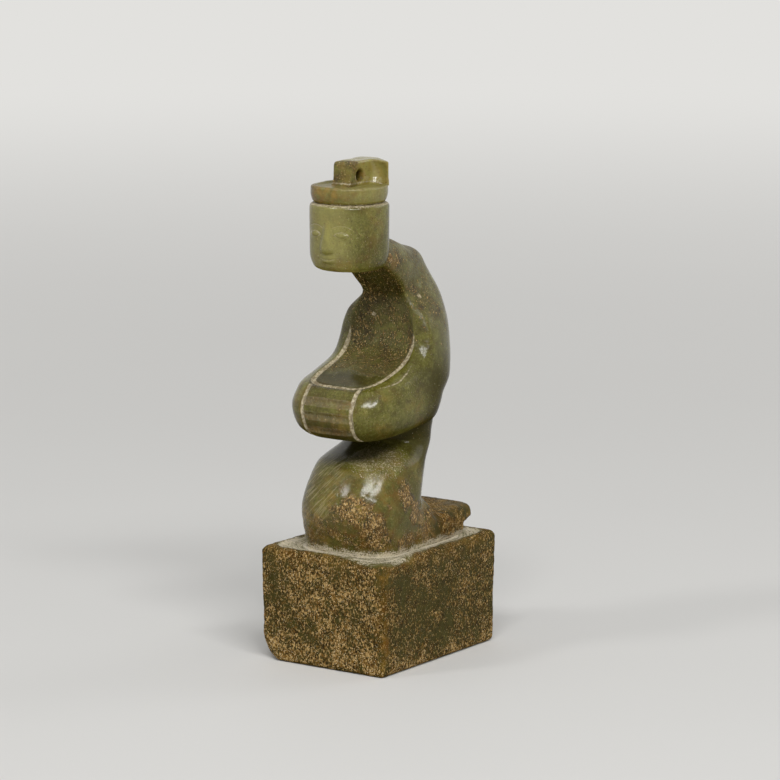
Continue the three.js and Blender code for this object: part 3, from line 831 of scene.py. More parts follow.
# %% Flutes of the cuffs
CUFF_HALF = 4.6
FLUTE_RADIUS = 0.8
FLUTE_DEPTH = 0.34
FLUTE_COUNT = 3
flute_tree, flute_in = geometry_tree("flutes", {
    "Radius": ("Float", 0.0009), "Length": ("Float", 0.009), "Count": ("Int", 3),
})
spots = node(flute_tree, "GeometryNodeResampleCurve", Curve=flute_in["Geometry"], Count=flute_in["Count"])
rod = node(flute_tree, "GeometryNodeMeshCylinder", Vertices=32, Radius=flute_in["Radius"],
           Depth=flute_in["Length"])
lying = node(flute_tree, "GeometryNodeTransform", Geometry=rod.outputs["Mesh"],
             Rotation=(0, math.pi / 2, 0))
rods = node(flute_tree, "GeometryNodeInstanceOnPoints", Points=spots, Instance=lying)
end_tree(flute_tree, rods, tool_material)
front_line = settle(smooth_path([(0, -14.5, 43.1), (0, -14.9, 40.8), (0, -14.1, 38.4)]),
                    figure_blank, body, FLUTE_RADIUS - FLUTE_DEPTH)
flute_mesh = grow(path_curve("cuff_front", front_line), flute_tree, Radius=FLUTE_RADIUS * MILLIMETRE,
                  Length=(2 * CUFF_HALF - 0.4) * MILLIMETRE, Count=FLUTE_COUNT)
flute_points, flute_triangles = triangles_of(flute_mesh)
flutes = figure_blank.field(flute_points, flute_triangles)
body = cut(body, flutes, 0.08)
print("flutes:", len(flute_points) // 64)

# %% [markdown]
# The neck goes a hair into the head and no further, so the two regions touch without a gap. The
# head is an upright drum with soft corners. It gets a finer blank than the body, because the
# lines of the face are thin.

# %% Head
CHIN_ROUND = 2
HEAD_SQUARE = 2.3
GROOVE_BEVEL = 0.45
head_y = -HEAD_FORWARD
cap_z = chin_z + HEAD_HEIGHT


def head_oval(z, inset):
    radius = HEAD_RADIUS - inset
    return oval(head_y, z, radius, radius, radius, HEAD_SQUARE, HEAD_SQUARE)


head_run = [
    head_oval(chin_z, CHIN_ROUND * 0.8), head_oval(chin_z + CHIN_ROUND * 0.3, CHIN_ROUND * 0.34),
    head_oval(chin_z + CHIN_ROUND * 1.3, 0.08), head_oval(cap_z - GROOVE_BEVEL, 0),
    head_oval(cap_z, GROOVE_BEVEL),
]
body = cut(body, figure_blank.field(*loft(head_run)) + 0.15, 0.1)
head_blank = Blank((-7.2, -15.6, 62.8), (7.2, -1.2, 76), FINE_CELL)
head = ease(head_blank.field(*loft(head_run)), 1.8)
print("head blank has", head.size, "cells")

# %% [markdown]
# The face is a plain calm one, laid out as drawing books teach: brow, nose and chin a third of its
# height apart, eyes a fifth of its width across and one eye's width between them. The eyes
# are a pair of thin arcs over a slight swelling, and the nose is a low wedge.

# %% Face
third = HEAD_HEIGHT / 3
eye_width = 2 * HEAD_RADIUS / 5
x, y, z = head_blank.places()


def on_head(px, up, stand=0):
    side = min(abs(px) / HEAD_RADIUS, 0.98)
    depth = HEAD_RADIUS * (1 - side ** HEAD_SQUARE) ** (1 / HEAD_SQUARE)
    return (px, head_y - depth - stand, chin_z + up)


def egg(centre, radii):
    """Roughly the distance to an egg shape."""
    return (from_egg((x, y, z), centre, radii) - 1) * min(radii)


def arc(middle, half, up, rise):
    shares = (-1, -0.5, 0, 0.5, 1)
    return [on_head(middle + share * half, up + rise * (1 - share ** 2)) for share in shares]


nose_top = np.array(on_head(0, 2 * third, -0.55))
nose_tip = np.array(on_head(0, third + 0.3, 0.05))
for share in np.linspace(0, 1, 9):
    centre = nose_top + share * (nose_tip - nose_top)
    width = 0.5 + 0.42 * share
    head = join(head, egg(centre, (width, 0.62, 0.8)), 0.55)
for side in (-1, 1):
    head = join(head, egg(on_head(side * 0.62, third + 0.12, -0.2), (0.42, 0.45, 0.4)), 0.35)
    head = join(head, egg(on_head(side * eye_width, 1.7 * third, -0.42), (0.95, 0.62, 0.5)), 0.5)
mouth_up = 0.62 * third
head = join(head, egg(on_head(0, mouth_up + 0.28, -0.3), (1.15, 0.45, 0.3)), 0.35)
head = join(head, egg(on_head(0, mouth_up - 0.3, -0.3), (0.95, 0.45, 0.32)), 0.35)
face_lines = [(arc(0, eye_width * 0.55, mouth_up, -0.2), 0.12)]
for side in (-1, 1):
    middle = side * eye_width
    face_lines.append((arc(middle, eye_width * 0.5, 1.7 * third, 0.5), 0.14))
    face_lines.append((arc(middle, eye_width * 0.46, 1.7 * third, -0.4), 0.11))
    face_lines.append((arc(middle, eye_width * 0.62, 2 * third, 0.45), 0.11))
head_lines = []
for points, radius in face_lines:
    path = settle(smooth_path(points), head_blank, head, 0.03)
    head = cut(head, head_blank.field(*wheel_cut(path, radius, 0.2)), 0.06)
    head_lines.append((path, radius - 0.08, 0.2))
print("face lines:", len(head_lines))

# %% [markdown]
# The cap is a low drum that flares towards its rim and is sunk inside it. The sinking leaves the
# crest standing: a wall round the back, a fin that runs forward and hollow corners between them,
# which a round grinding tool leaves by itself.

# %% Cap
CAP_HEIGHT, CAP_FLARE, CAP_INSET, CAP_RIM, CAP_SINK, CAP_EASE = 2.8, 0.25, 0.2, 0.7, 0.3, 0.25
CREST_HEIGHT, CREST_INSET, CREST_WALL, CREST_FILLET, CREST_ROUND = 3.7, 0.1, 2.3, 1.3, 0.8
WHEEL_BITE = 0.7
CREST_RAISE = 0.15
FIN_WIDTH, FIN_FRONT, FIN_FILLET = 3.5, 3.9, 0.7
cap_blank = Blank((-7.2, -15.6, 73.6), (7.2, -1.2, 82), FINE_CELL)
x, y, z = cap_blank.places()
crest_top = cap_z + CAP_HEIGHT + CREST_HEIGHT + CREST_RAISE
cap = cap_blank.field(*loft([
    head_oval(cap_z, GROOVE_BEVEL + CAP_FLARE + CAP_INSET),
    head_oval(cap_z + GROOVE_BEVEL, CAP_FLARE + CAP_INSET),
    head_oval(cap_z + CAP_HEIGHT * 0.6, CAP_INSET),
    head_oval(cap_z + CAP_HEIGHT - CAP_EASE, CAP_FLARE),
    head_oval(cap_z + CAP_HEIGHT, CAP_FLARE + CAP_EASE),
], 80))


def crest_plan(x, y, z):
    """Distance to the crest, which is a wall round the back and a fin with hollow corners."""
    height = np.clip((z - cap_z - CAP_HEIGHT) / CREST_HEIGHT, 0, 1)
    bite = WHEEL_BITE * (1 - (2 * height - 1) ** 2) * fall(np.abs(x), 3.2, 4.9)
    wall = (HEAD_RADIUS - CREST_WALL) + bite - (y - head_y) + 0 * x
    fin = np.abs(x) - FIN_WIDTH / 2 + 0 * y + 0 * z
    square_x = np.maximum(CREST_FILLET - fin, 0)
    square_y = np.maximum(CREST_FILLET - wall, 0)
    hollow = CREST_FILLET - np.hypot(square_x, square_y)
    in_corner = (fin < CREST_FILLET) & (wall < CREST_FILLET)
    return np.where(in_corner, hollow, np.minimum(wall, fin))


plan = crest_plan(x, y, z)
inside_rim = cap_blank.field(*loft([
    head_oval(cap_z + CAP_HEIGHT - CAP_SINK, CAP_FLARE + CAP_EASE + CAP_RIM),
    head_oval(cap_z + CAP_HEIGHT + 1, CAP_FLARE + CAP_EASE + CAP_RIM),
], 40))
cap = cut(cap, np.maximum(inside_rim, -plan), 0.25)
cap = ease(cap, 0.9)
print("the cap starts at", round(cap_z, 2), "mm")

# %% [markdown]
# The crest is what a second, higher drum keeps over that plan. Seen from the side, its front corner
# is round and its top falls away to both sides, more so on the worn right end. The fin's foot
# spreads forward. A cord hole, worn to a funnel at both mouths, goes through the fin.

# %% Crest
CREST_DROP, RIGHT_WEAR = 0.3, 0.7
FIN_LEAN = 0.05
HOLE_RADIUS, HOLE_HEIGHT, HOLE_BACK, HOLE_WEAR = 0.7, 1.4, 0.5, 0.45
drum = cap_blank.field(*loft([
    head_oval(cap_z + CAP_HEIGHT - 0.4, CREST_INSET), head_oval(crest_top - CREST_INSET, CREST_INSET),
    head_oval(crest_top, 2 * CREST_INSET),
], 80))
fin_front = FIN_FRONT - HEAD_RADIUS + head_y
from_front = y - fin_front - FIN_LEAN * (z - cap_z - CAP_HEIGHT) + 0 * x
worn_down = CREST_DROP * fade(np.abs(x), 0.6, 4.2) + RIGHT_WEAR * fade(-x, 1.8, 3.6)
from_top = crest_top - worn_down - z + 0 * y
corner_y = np.maximum(CREST_ROUND - from_front, 0)
corner_z = np.maximum(CREST_ROUND - from_top, 0)
side_view = np.maximum(-from_front, -from_top)
rounded = np.hypot(corner_y, corner_z) - CREST_ROUND + 0 * x
side_view = np.where((corner_y > 0) & (corner_z > 0), rounded, side_view)
crest = meet(meet(drum, plan, 0.35), side_view, 0.35)
foot_rise = np.clip(z - cap_z - CAP_HEIGHT, 0, FIN_FILLET)
spread = FIN_FILLET - np.sqrt(np.maximum(FIN_FILLET ** 2 - (FIN_FILLET - foot_rise) ** 2, 0))
crest = join(crest, np.maximum(meet(drum, plan, 0.3), fin_front - spread - y)
             + 4 * np.maximum(z - cap_z - CAP_HEIGHT - FIN_FILLET, 0), 0.2)
hole_y, hole_z = head_y + HOLE_BACK, cap_z + CAP_HEIGHT + HOLE_HEIGHT
worn = HOLE_RADIUS + HOLE_WEAR * np.clip((np.abs(x) - FIN_WIDTH / 2 + HOLE_WEAR) / HOLE_WEAR, 0, 2)
crest = cut(crest, np.hypot(y - hole_y, z - hole_z) - worn, 0.2)
crest = ease(crest, 0.8)
crest = meet(crest, cap_z + CAP_HEIGHT - CAP_SINK - 0.05 - z + 0 * x, 0.05)
print("crest rises to", round(crest_top, 2), "mm")

# %% [markdown]
# Now every form becomes a skin. The wear is pushed into the skin along its own normals: pits where
# the stone is crusted, slight waves where it was polished by hand, and ridges where the wheel
# went round the foot.


# %% Skins
def normals_of(points, faces):
    corner = points[faces]
    across = np.cross(corner[:, 2] - corner[:, 0], corner[:, 3] - corner[:, 1])
    total = np.zeros_like(points)
    for k in range(4):
        np.add.at(total, faces[:, k], across)
    return total / np.maximum(np.linalg.norm(total, axis=1), 1e-12)[:, None]


def outward(points, faces):
    """Turns all faces outwards if the skin came out inside out."""
    corner = points[faces]
    volume = np.einsum("ij,ij->", corner[:, 0], np.cross(corner[:, 1], corner[:, 2]))
    volume += np.einsum("ij,ij->", corner[:, 0], np.cross(corner[:, 2], corner[:, 3]))
    return faces if volume > 0 else faces[:, ::-1]


def skin_of(blank, field):
    points, faces = blank.skin(field)
    points = points.astype(float)
    faces = outward(points, faces.astype(np.int64))
    return points, faces, normals_of(points, faces)


skins = {
    "block": skin_of(block_blank, block),
    "body": skin_of(figure_blank, body),
    "head": skin_of(head_blank, head),
    "cap_band": skin_of(cap_blank, cap),
    "cap_crest": skin_of(cap_blank, crest),
}
for name, (points, faces, _) in skins.items():
    print(name, len(points), "points,", len(faces), "faces,",
          points.min(axis=0).round(2), points.max(axis=0).round(2))

# %% [markdown]
# The crust lies thick on the block and the feet and in patches on the knees. A patch is a soft egg
# that fades out at its border, where the crust thins to single grains. The same numbers steer
# relief and colour, so the two agree.


# %% Where the crust lies
def patchy(points, patches, seed):
    """The strongest of several patches: (how much, centre, radii)."""
    total = np.zeros(len(points))
    shake = (0.34 * lumps(points, 2.2, seed) + 0.26 * lumps(points, 1, seed + 1)
             + 0.14 * lumps(points, 0.5, seed + 2))
    for amount, centre, radii in patches:
        total = np.maximum(total, amount * fall(blob(points, centre, radii) + shake, 0.5, 1.25))
    return total


BODY_CRUST = [
    (0.9, (4.8, -12.4, 25.4), (5.4, 3.8, 3.6)), (0.85, (6.2, -11.4, 21), (4.6, 3.6, 2.6)),
    (0.85, (9, -5.4, 27.6), (2, 1.6, 3)), (0.85, (9, -3.2, 24.8), (2, 1.8, 2.6)),
    (0.75, (8.8, 0.2, 22.2), (2.2, 3.2, 3.6)), (0.7, (8.6, -4.6, 20.2), (1.6, 3.6, 1.8)),
    (0.8, (2.2, -12.8, 21.2), (3.2, 3, 2.4)), (0.95, (0, 9.6, 20.4), (13, 8, 6)),
    (0.6, (-4, -12.4, 21.6), (5.4, 4, 3.8)),
    (0.85, (-7.8, -9.8, 22.6), (2.4, 3, 3)), (0.8, (-8.8, 0.6, 22.8), (2.4, 3.8, 4.2)),
    (0.4, (-8.4, -6, 30), (2.4, 3, 3)),
]
BLOCK_CLEAN = [
    (0.5, (-10.6, -16, 16.4), (3, 2, 3)), (0.3, (-9.4, -16, 12), (2.6, 1.5, 3.4)),
    (0.3, (-3, -16, 6), (3.6, 1.5, 3)), (0.35, (12.2, -10.6, 14.6), (1.5, 3.4, 3)),
    (0.3, (12.2, -6, 10), (1.5, 2.6, 3.6)), (0.3, (12.2, 2.6, 11.4), (1.5, 3.4, 4)),
    (0.3, (12.2, 0.4, 4.8), (1.5, 3.8, 2.6)), (0.4, (-12.2, 3, 11), (1.5, 5, 4)),
    (0.35, (2, 16, 9), (5, 1.5, 4)),
]


def crust_on_body(points):
    clean_end = near(points, (7, 15.4, 21.4), (2, 1.3, 1.6), 0.6, 1.1)
    return np.minimum(patchy(points, BODY_CRUST, 40), 1) * (1 - 0.9 * clean_end)


def crust_on_block(points):
    x, y, z = points.T
    side = fade(np.abs(x), 11.4, 12) * fall(np.abs(y), 15, 15.9)
    total = 0.86 - 0.18 * side + 0.14 * lumps(points, 3.2, 80) + 0.12 * lumps(points, 1.4, 81)
    shake = 0.3 * lumps(points, 1.6, 82)
    for amount, centre, radii in BLOCK_CLEAN:
        total = total - 0.7 * amount * fall(blob(points, centre, radii) + shake, 0.2, 1.3)
    return np.clip(total + 0.12 * fall(z, 0, 6), 0.05, 1)


FOOT_MIDDLE, FOOT_DEPTH, FOOT_ROUND = 0.4, 24.8, 5


def foot_gap(points):
    """How far a point lies outside the figure's foot, seen from above."""
    return oblong(points[:, 0], points[:, 1] - FOOT_MIDDLE, 2 * FOOT_HALF, FOOT_DEPTH, FOOT_ROUND)


def in_track(points):
    x, y, z = points.T
    sides = rim_gap(x, y) - 1.6 * fade(x - y, 17, 26)
    sides = sides + 0.35 * lumps(points, 1.6, 48) + 0.25 * lumps(points, 0.6, 44)
    return fade(z, foot_z - 0.5, foot_z - 0.05) * fall(sides, -0.1, 1)


print("crust covers", (crust_on_body(skins["body"][0]) > 0.5).mean().round(3), "of the figure")

# %% [markdown]
# The relief follows. A pit is at most a fifth of a millimetre deep, and a polishing wave a
# fiftieth. Near the block's edges and corners the wear takes a little more stone away.


# %% Relief
def crust_relief(points, crust, seed):
    """How far the crust sinks or stands at each point, in millimetres."""
    grain = 0.035 * lumps(points, 1, seed) + 0.045 * lumps(points, 0.5, seed + 1)
    holes = 0.12 * pits(points, 0.9, seed + 2)
    return crust * (grain - holes + 0.01)


def carve(name, push):
    """A skin pushed out along its normals, or in where the push is below zero."""
    points, faces, normals = skins[name]
    return points + normals * push[:, None], faces


points, faces, normals = skins["block"]
x, y, z = points.T
track = in_track(points)
crust = crust_on_block(points) * (1 - track)
beside = np.abs(x) - 11, np.abs(y) - 14.8
upright_edge = fade(beside[0], 0.2, 1.1) * fade(beside[1], 0.1, 1.1)
at_sides = fade(np.maximum(*beside), 0.2, 1.1)
top_edge = fade(z, 17.8, 18.7) * at_sides
foot_edge = fall(z, 0.1, 0.9) * at_sides
chips = np.clip(lumps(points, 1.7, 11) + 0.1, 0, 1) * (0.16 * upright_edge + 0.2 * top_edge + 0.2 * foot_edge)
waves = 0.02 * lumps(points, 4, 12)
ridges = 0.035 * np.sin(foot_gap(points) * 9 + 2 * lumps(points, 3, 14)) * track
ridges = ridges + 0.04 * lumps(points, 0.7, 15) * track
inner = (z < 1.2) & (np.abs(normals[:, 2]) > 0.2)
push = np.where(inner, 0, crust_relief(points, crust, 20) - chips + waves + ridges)
push = np.where(z < 0.12, np.minimum(push, 0) * 0.3, push)
carved = {"block": carve("block", np.minimum(push, 0.03))}

points = skins["body"][0]
crust = crust_on_body(points)
buried = fade(points[:, 2], foot_z - 0.3, foot_z)
push = (crust_relief(points, crust, 30) + 0.05 * crust + 0.02 * lumps(points, 3.2, 31)) * buried
carved["body"] = carve("body", push)
carved["head"] = carve("head", 0.02 * lumps(skins["head"][0], 2.4, 33))
for name, seed, wave, wear, size, edge_start, edge_end in [
    ("cap_band", 35, 1.6, 0.12, 1.3, cap_z + 2.3, cap_z + 2.8),
    ("cap_crest", 37, 1.4, 0.08, 1.1, crest_top - 0.9, crest_top),
]:
    points = skins[name][0]
    worn_edge = np.clip(lumps(points, size, seed + 1), 0, 1) * fade(points[:, 2], edge_start, edge_end)
    carved[name] = carve(name, 0.02 * lumps(points, wave, seed) - wear * worn_edge)
print("relief carved; body push from", push.min().round(2), "to", push.max().round(2))

# %% [markdown]
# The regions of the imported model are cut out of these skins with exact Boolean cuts, so that two
# neighbours share one seam. Edges that turn by more than 50 degrees stay crisp, and the rest is
# shaded smooth.


# %% Regions
def mesh_of(name, points, faces):
    mesh = bpy.data.meshes.new(name)
    mesh.vertices.add(len(points))
    mesh.vertices.foreach_set("co", (points * MILLIMETRE).astype(np.float32).ravel())
    mesh.loops.add(faces.size)
    mesh.loops.foreach_set("vertex_index", faces.astype(np.int32).ravel())
    mesh.polygons.add(len(faces))
    mesh.polygons.foreach_set("loop_start", np.arange(0, faces.size, 4, dtype=np.int32))
    mesh.update(calc_edges=True)
    mesh.validate()
    return mesh


def box_mesh(name, limits):
    points = np.array(list(product(*limits)), float)
    faces = np.array([(0, 1, 3, 2), (4, 6, 7, 5), (0, 4, 5, 1), (2, 3, 7, 6), (0, 2, 6, 4), (1, 5, 7, 3)])
    return mesh_of(name, points, faces)


def region(name, skin, *boxes):
    """Cuts a region out of a skin. Each box is (operation, its limits along x, y and z)."""
    item = placed(name, mesh_of(name, *skin))
    for operation, limits in boxes:
        tool = placed("box_tool", box_mesh("box_tool", limits))
        modifier = item.modifiers.new("cut", "BOOLEAN")
        modifier.operation = operation
        modifier.solver = "MANIFOLD"
        modifier.object = tool
        item.data = evaluated(item)
        item.modifiers.remove(modifier)
        bpy.data.objects.remove(tool)
    shape = bmesh.new()
    shape.from_mesh(item.data)
    for face in shape.faces:
        face.smooth = True
    for line in shape.edges:
        line.smooth = line.calc_face_angle(0) < CRISP_ANGLE
    shape.to_mesh(item.data)
    open_edges = sum(1 for line in shape.edges if len(line.link_faces) != 2)
    shape.free()
    item.data.name = name
    item.data.materials.clear()
    print(name, len(item.data.polygons), "faces,", open_edges, "open edges")
    return item


FAR = 40
CRISP_ANGLE = math.radians(50)
HEEL_JOIN = 7.2
FEET_START = 2.2
CUFF_REACH = 3.6
CUFF_SEAM = CUFF_HALF + 0.1


def within(x=(-FAR, FAR), y=(-FAR, FAR), z=(-FAR, FAR)):
    return x, y, z


feet_box = within(y=(FEET_START, FAR), z=(-FAR, foot_z + HEEL_JOIN))
cuff_box = within((-CUFF_SEAM, CUFF_SEAM), (-FAR, CUFF_REACH - SLEEVE_FRONT), (waist_z, lap_z + LAP_FRONT))
pieces = {
    name: region(made, carved[skin], *boxes) for name, made, skin, *boxes in [
        ("seal_block", "block_stone", "block", ("INTERSECT", within(z=(FACE_THICKNESS, FAR)))),
        ("seal_face", "printing_side", "block", ("INTERSECT", within(z=(-FAR, FACE_THICKNESS)))),
        ("kneeling_robe", "robe_stone", "body", ("INTERSECT", within(z=(-FAR, waist_z))),
         ("DIFFERENCE", feet_box)),
        ("tucked_feet", "feet_stone", "body", ("INTERSECT", feet_box)),
        ("upper_body", "upper_body_stone", "body", ("INTERSECT", within(z=(waist_z, 2 * FAR))),
         ("DIFFERENCE", cuff_box)),
        ("cuff_panel", "cuff_stone", "body", ("INTERSECT", cuff_box)),
        ("head", "head_stone", "head"),
        ("cap_band", "cap_stone", "cap_band"),
        ("cap_crest", "crest_stone", "cap_crest"),
    ]
}

# %% [markdown]
# Each point of a region carries a few numbers that the material reads: how much crust, how much
# pale deposit lies in a line, how amber the stone is, how matt it was left, and where the
# grinding wheel left streaks. Streaks need two more numbers, one across them and one along.
# A darkness number darkens the stone, or lightens it below zero. On the block it is the stone's own dark
# ground; on the figure it is mostly painted shade and painted light. The last is the way to a cut line.


# %% Numbers for the material
def spots_of(item):
    """An object's points in millimetres, and their x, y and z."""
    points = read(item.data.vertices, "co", np.float32).astype(float) / MILLIMETRE
    return points, *points.T


def mark(item, **numbers):
    """Gives each point of an object the numbers that the stone finishes read."""
    unset = dict(crust=0, deposit=0, stain=0, matt=0, streaks=0, across=0, along=0,
                 shade=0, line_gap=1)
    for name, values in {**unset, **numbers}.items():
        layer = item.data.attributes.new(name, "FLOAT", "POINT")
        filled = np.broadcast_to(np.asarray(values, np.float32), len(item.data.vertices))
        layer.data.foreach_set("value", np.ascontiguousarray(filled))
    print(item.name, "has", len(item.data.vertices), "points with", len(unset), "numbers each")


def line_gap(points, lines):
    """Distance in mm to the fill of the nearest cut line. A line is (path, half width, taper)."""
    nearest = np.full(len(points), 2)
    for path, half_width, taper in lines:
        run = np.concatenate([[0], np.cumsum(np.linalg.norm(np.diff(path, axis=0), axis=1))])
        to_end = np.minimum(run, run[-1] - run) / (run[-1] * taper)
        nearest = np.minimum(nearest, gap_to(points, path, half_width * np.clip(to_end, 0.1, 1)))
    return nearest


def inclusion(points, centre, radii):
    """A grain of another stone: 1 inside and 0 outside."""
    return near(points, centre, radii, 0.7, 1.1, (0.2, 0.5, 64))


def round_foot(points):
    """How far round the foot a point lies, so that wheel streaks run along it."""
    return np.arctan2(points[:, 1], points[:, 0]) * 12


# %% [markdown]
# The block is dull and brown from the ground, and amber where its near corner and top thin out.
# Pale powder has stayed in the track round the foot and in the sunk fields of the printing side. The pale
# lines along the foot and the rim are partly painted glints.

# %% Numbers for the block
NEAR_CORNER = (12.1, -15.8)
for name in ("seal_block", "seal_face"):
    points, x, y, z = spots_of(pieces[name])
    track = in_track(points)
    gap = foot_gap(points)
    corner_line = np.hypot(x - NEAR_CORNER[0], y - NEAR_CORNER[1])
    amber = fall(corner_line + 0.5 * lumps(points, 1.5, 49), 0.5, 2.2)
    top_amber = fade(z, 15.8, 18.4) * fade(lumps(points, 3.5, 50), -0.6, 0.4)
    amber = np.maximum(amber, 0.8 * top_amber)
    # Pale lines at the toe of the foot and along the rim: powder, and partly painted glints.
    toe_powder_and_painted_glint = fall(np.abs(gap), 0.1, 0.5)
    rim_powder_and_painted_glint = fall(np.abs(rim_gap(x, y) + 0.2), 0.1, 0.5)
    pale = 0.6 + 0.3 * toe_powder_and_painted_glint + 0.3 * rim_powder_and_painted_glint + 0.1 * lumps(points, 2.4, 47)
    pale = pale - 0.3 * fade(x - y + lumps(points, 0.8, 66), 22.5, 27)
    bare_edge = 1 - 0.22 * fall(corner_line + 0.6 * lumps(points, 1.2, 41), 0.6, 2)
    inside = oblong(x, y, BLOCK_WIDTH - 2 * BLOCK_TAPER, BLOCK_DEPTH, 1)
    prints = fade(-inside, 0.3, 0.9) * fall(z, 1, 1.4)
    sunk = prints * fade(z, 0.25, 0.6)
    crust = crust_on_block(points) * bare_edge * (1 - track) * (1 - 0.75 * prints)
    mark(pieces[name], crust=crust, stain=amber * (1 - track), matt=np.maximum(0.6, track),
         deposit=np.clip(track * pale + 0.5 * sunk, 0, 1), streaks=track, across=gap,
         along=round_foot(points), shade=0.85 - 0.4 * track - 0.5 * (prints - sunk))

# %% [markdown]
# On the robe the grinding wheel left streaks over the right knee and round the hem. A thin haze of pale
# powder, which also paints a hazy sheen, lies on the thigh under the left sleeve, where a cloth hardly
# reaches. Under the sleeves and at the back of the thigh the robe is darkened as painted shade.

# %% Numbers for the robe and the feet
SCRATCH_ACROSS = np.array((0.72, 0.1, -0.66))
SCRATCH_WAY = np.array((0.585, 0.404, 0.70))
for name in ("kneeling_robe", "tucked_feet"):
    points, x, y, z = spots_of(pieces[name])
    on_knees = near(points, (-4.6, -11, 28), (6.4, 7, 8.6), 0.6, 1.1)
    low_down = fall(z + 0.3 * lumps(points, 1.5, 43), foot_z + 0.3, foot_z + 1.7)
    # Pale powder that also paints a hazy sheen on the thigh.
    powder_and_painted_sheen = near(points, (4, -6.6, 33.2), (6, 5.4, 3.8), 0.45, 1.15, (0.15, 1.4, 67))
    crust = crust_on_body(points)
    at_feet = 0.2 + 0.75 * fade(y, -2, 5) * fall(z, foot_z + 6, foot_z + 11)
    # Painted shade under the sleeves and at the back of the thigh. The amber stain is held back there too.
    painted_shade_under_sleeves = 0.6 * fade(z, 30, 33) * (1 - powder_and_painted_sheen)
    painted_shade_under_sleeves = np.maximum(painted_shade_under_sleeves, 0.8 * fade(z, 29, 32) * fade(y, -3.5, 0.5))
    is_low = low_down > 0.05
    mark(pieces[name], crust=crust, deposit=0.68 * low_down + 0.46 * powder_and_painted_sheen, matt=0.6 * powder_and_painted_sheen + 0.15 * on_knees,
         stain=np.clip(0.28 + 0.4 * lumps(points, 4, 51) + 0.7 * crust - 0.8 * painted_shade_under_sleeves, 0, 1),
         streaks=np.maximum(0.8 * on_knees, low_down), shade=np.maximum(at_feet, painted_shade_under_sleeves),
         across=np.where(is_low, z, points @ SCRATCH_ACROSS),
         along=np.where(is_low, round_foot(points), points @ SCRATCH_WAY))

# %% [markdown]
# The dished chest is dusty, the shoulders a little, and the sleeves are the best polished part. The lap, the
# chest under the head, the bottoms of the sleeves, the far side and the foot of the cuffs are darkened as
# painted shade.
# Two pale grains and a brown one sit in the stone, and powder fills the lines and the flutes.

# %% Numbers for the sleeves, the chest and the back
LINE_EDGE = 0.09
for name in ("upper_body", "cuff_panel"):
    points, x, y, z = spots_of(pieces[name])
    pale_grain = np.maximum(inclusion(points, (5.4, 3.6, 58.6), (0.5, 0.5, 0.5)),
                            inclusion(points, (-2.4, 1.9, 55), (0.5, 0.6, 0.4)))
    brown_grain = inclusion(points, (4.5, -3.5, 65.5), (0.7, 0.6, 1.2))
    chest = fall(figure_blank.depth(dish, points) + 0.15 * lumps(points, 0.8, 46), 0.15, 0.6)
    # Painted dark reflection and painted shade: the lap is darkened where it would mirror a dark surround and
    # where the head's shadow falls.
    lap_painted_dark_reflection = chest * near(points, (-1, -9.8, 46.2), (8.5, 4.2, 2.2), 0.55, 1.25,
                              (0.26, 1.2, 42), (0.16, 0.5, 65))
    sleeves = fall(np.abs(z - 41), 3, 6)
    in_flute = fall(figure_blank.depth(flutes, points) + 0.06 * lumps(points, 0.8, 39), 0.08, 0.28)
    collar = near(points, (4.8, -3.2, 65), (2.2, 3, 2.6), 0.4, 1)
    back_edge = fade(y, 5, 11) * fade(lumps(points, 2, 63), 0, 0.6)
    amber = 0.45 * sleeves * fade(lumps(points, 3, 54), -0.2, 0.6) + 0.7 * collar + 0.5 * back_edge
    # Painted shade at the bottoms of the sleeves.
    painted_shade_sleeve_bottom = fall(z, sleeve_z + 0.5, sleeve_z + 5)
    # Painted shade on the lower far side of the back, where less light falls. The amber stain is held back
    # there too.
    painted_shade_far_side = fade(y, -5, 3) * fall(z, 45, 52)
    shoulders = fade(z, 49, 57) * fall(y, 6, 12)
    dusty = 0.56 * chest * (1 - lap_painted_dark_reflection) + (1 - chest) * (0.16 + 0.34 * shoulders)
    # Painted shade down the foot of the cuff panel, darker lower down.
    painted_shade_cuff_foot = fall(z, 38, 43) * fall(np.abs(x), 4.4, 4.7)
    # Painted shade on the dished chest, darker up towards the neck, under the head's shadow.
    neck_shade = 0.25 + 0.5 * fade(z, 55, 60)
    shade = 0.6 * lap_painted_dark_reflection + neck_shade * chest + 0.55 * painted_shade_sleeve_bottom + 0.85 * painted_shade_far_side + 0.35 * painted_shade_cuff_foot
    stain = amber * (1 - painted_shade_far_side) + 0.3 * in_flute + 0.8 * brown_grain + 0.5 * pale_grain
    mark(pieces[name], crust=np.clip(dusty + 0.5 * brown_grain + 0.22 * in_flute, 0, 1),
         line_gap=np.minimum(line_gap(points, robe_lines), LINE_EDGE - 0.02 * in_flute),
         deposit=0.9 * pale_grain, shade=np.clip(shade, 0, 0.92), stain=np.clip(stain, 0, 1),
         matt=np.clip(1.3 * np.maximum(dusty - 0.14, 0) + 0.6 * in_flute, 0, 1))

# %% [markdown]
# The head and the cap are handled most, so they are clean, with amber on chin and brim. They are also painted
# lighter, as painted light.
# Powder stays in the seam under the cap, in the step round the crest and beside the cord hole. The lines at
# the step and beside the hole are partly painted glints.

# %% Numbers for the head and the cap
points, x, y, z = spots_of(pieces["head"])
seam = fall(cap_z - z, 0.1, 0.45) * (0.85 + 0.1 * lumps(points, 1.3, 55))
chin = near(points, (2.4, -13.4, 64.6), (5, 3, 2.6), 0.3, 1)
dusty = 0.24 * fade(x, 1, 5) * fade(lumps(points, 2.4, 45), -0.3, 0.7) + 0.2 * chin
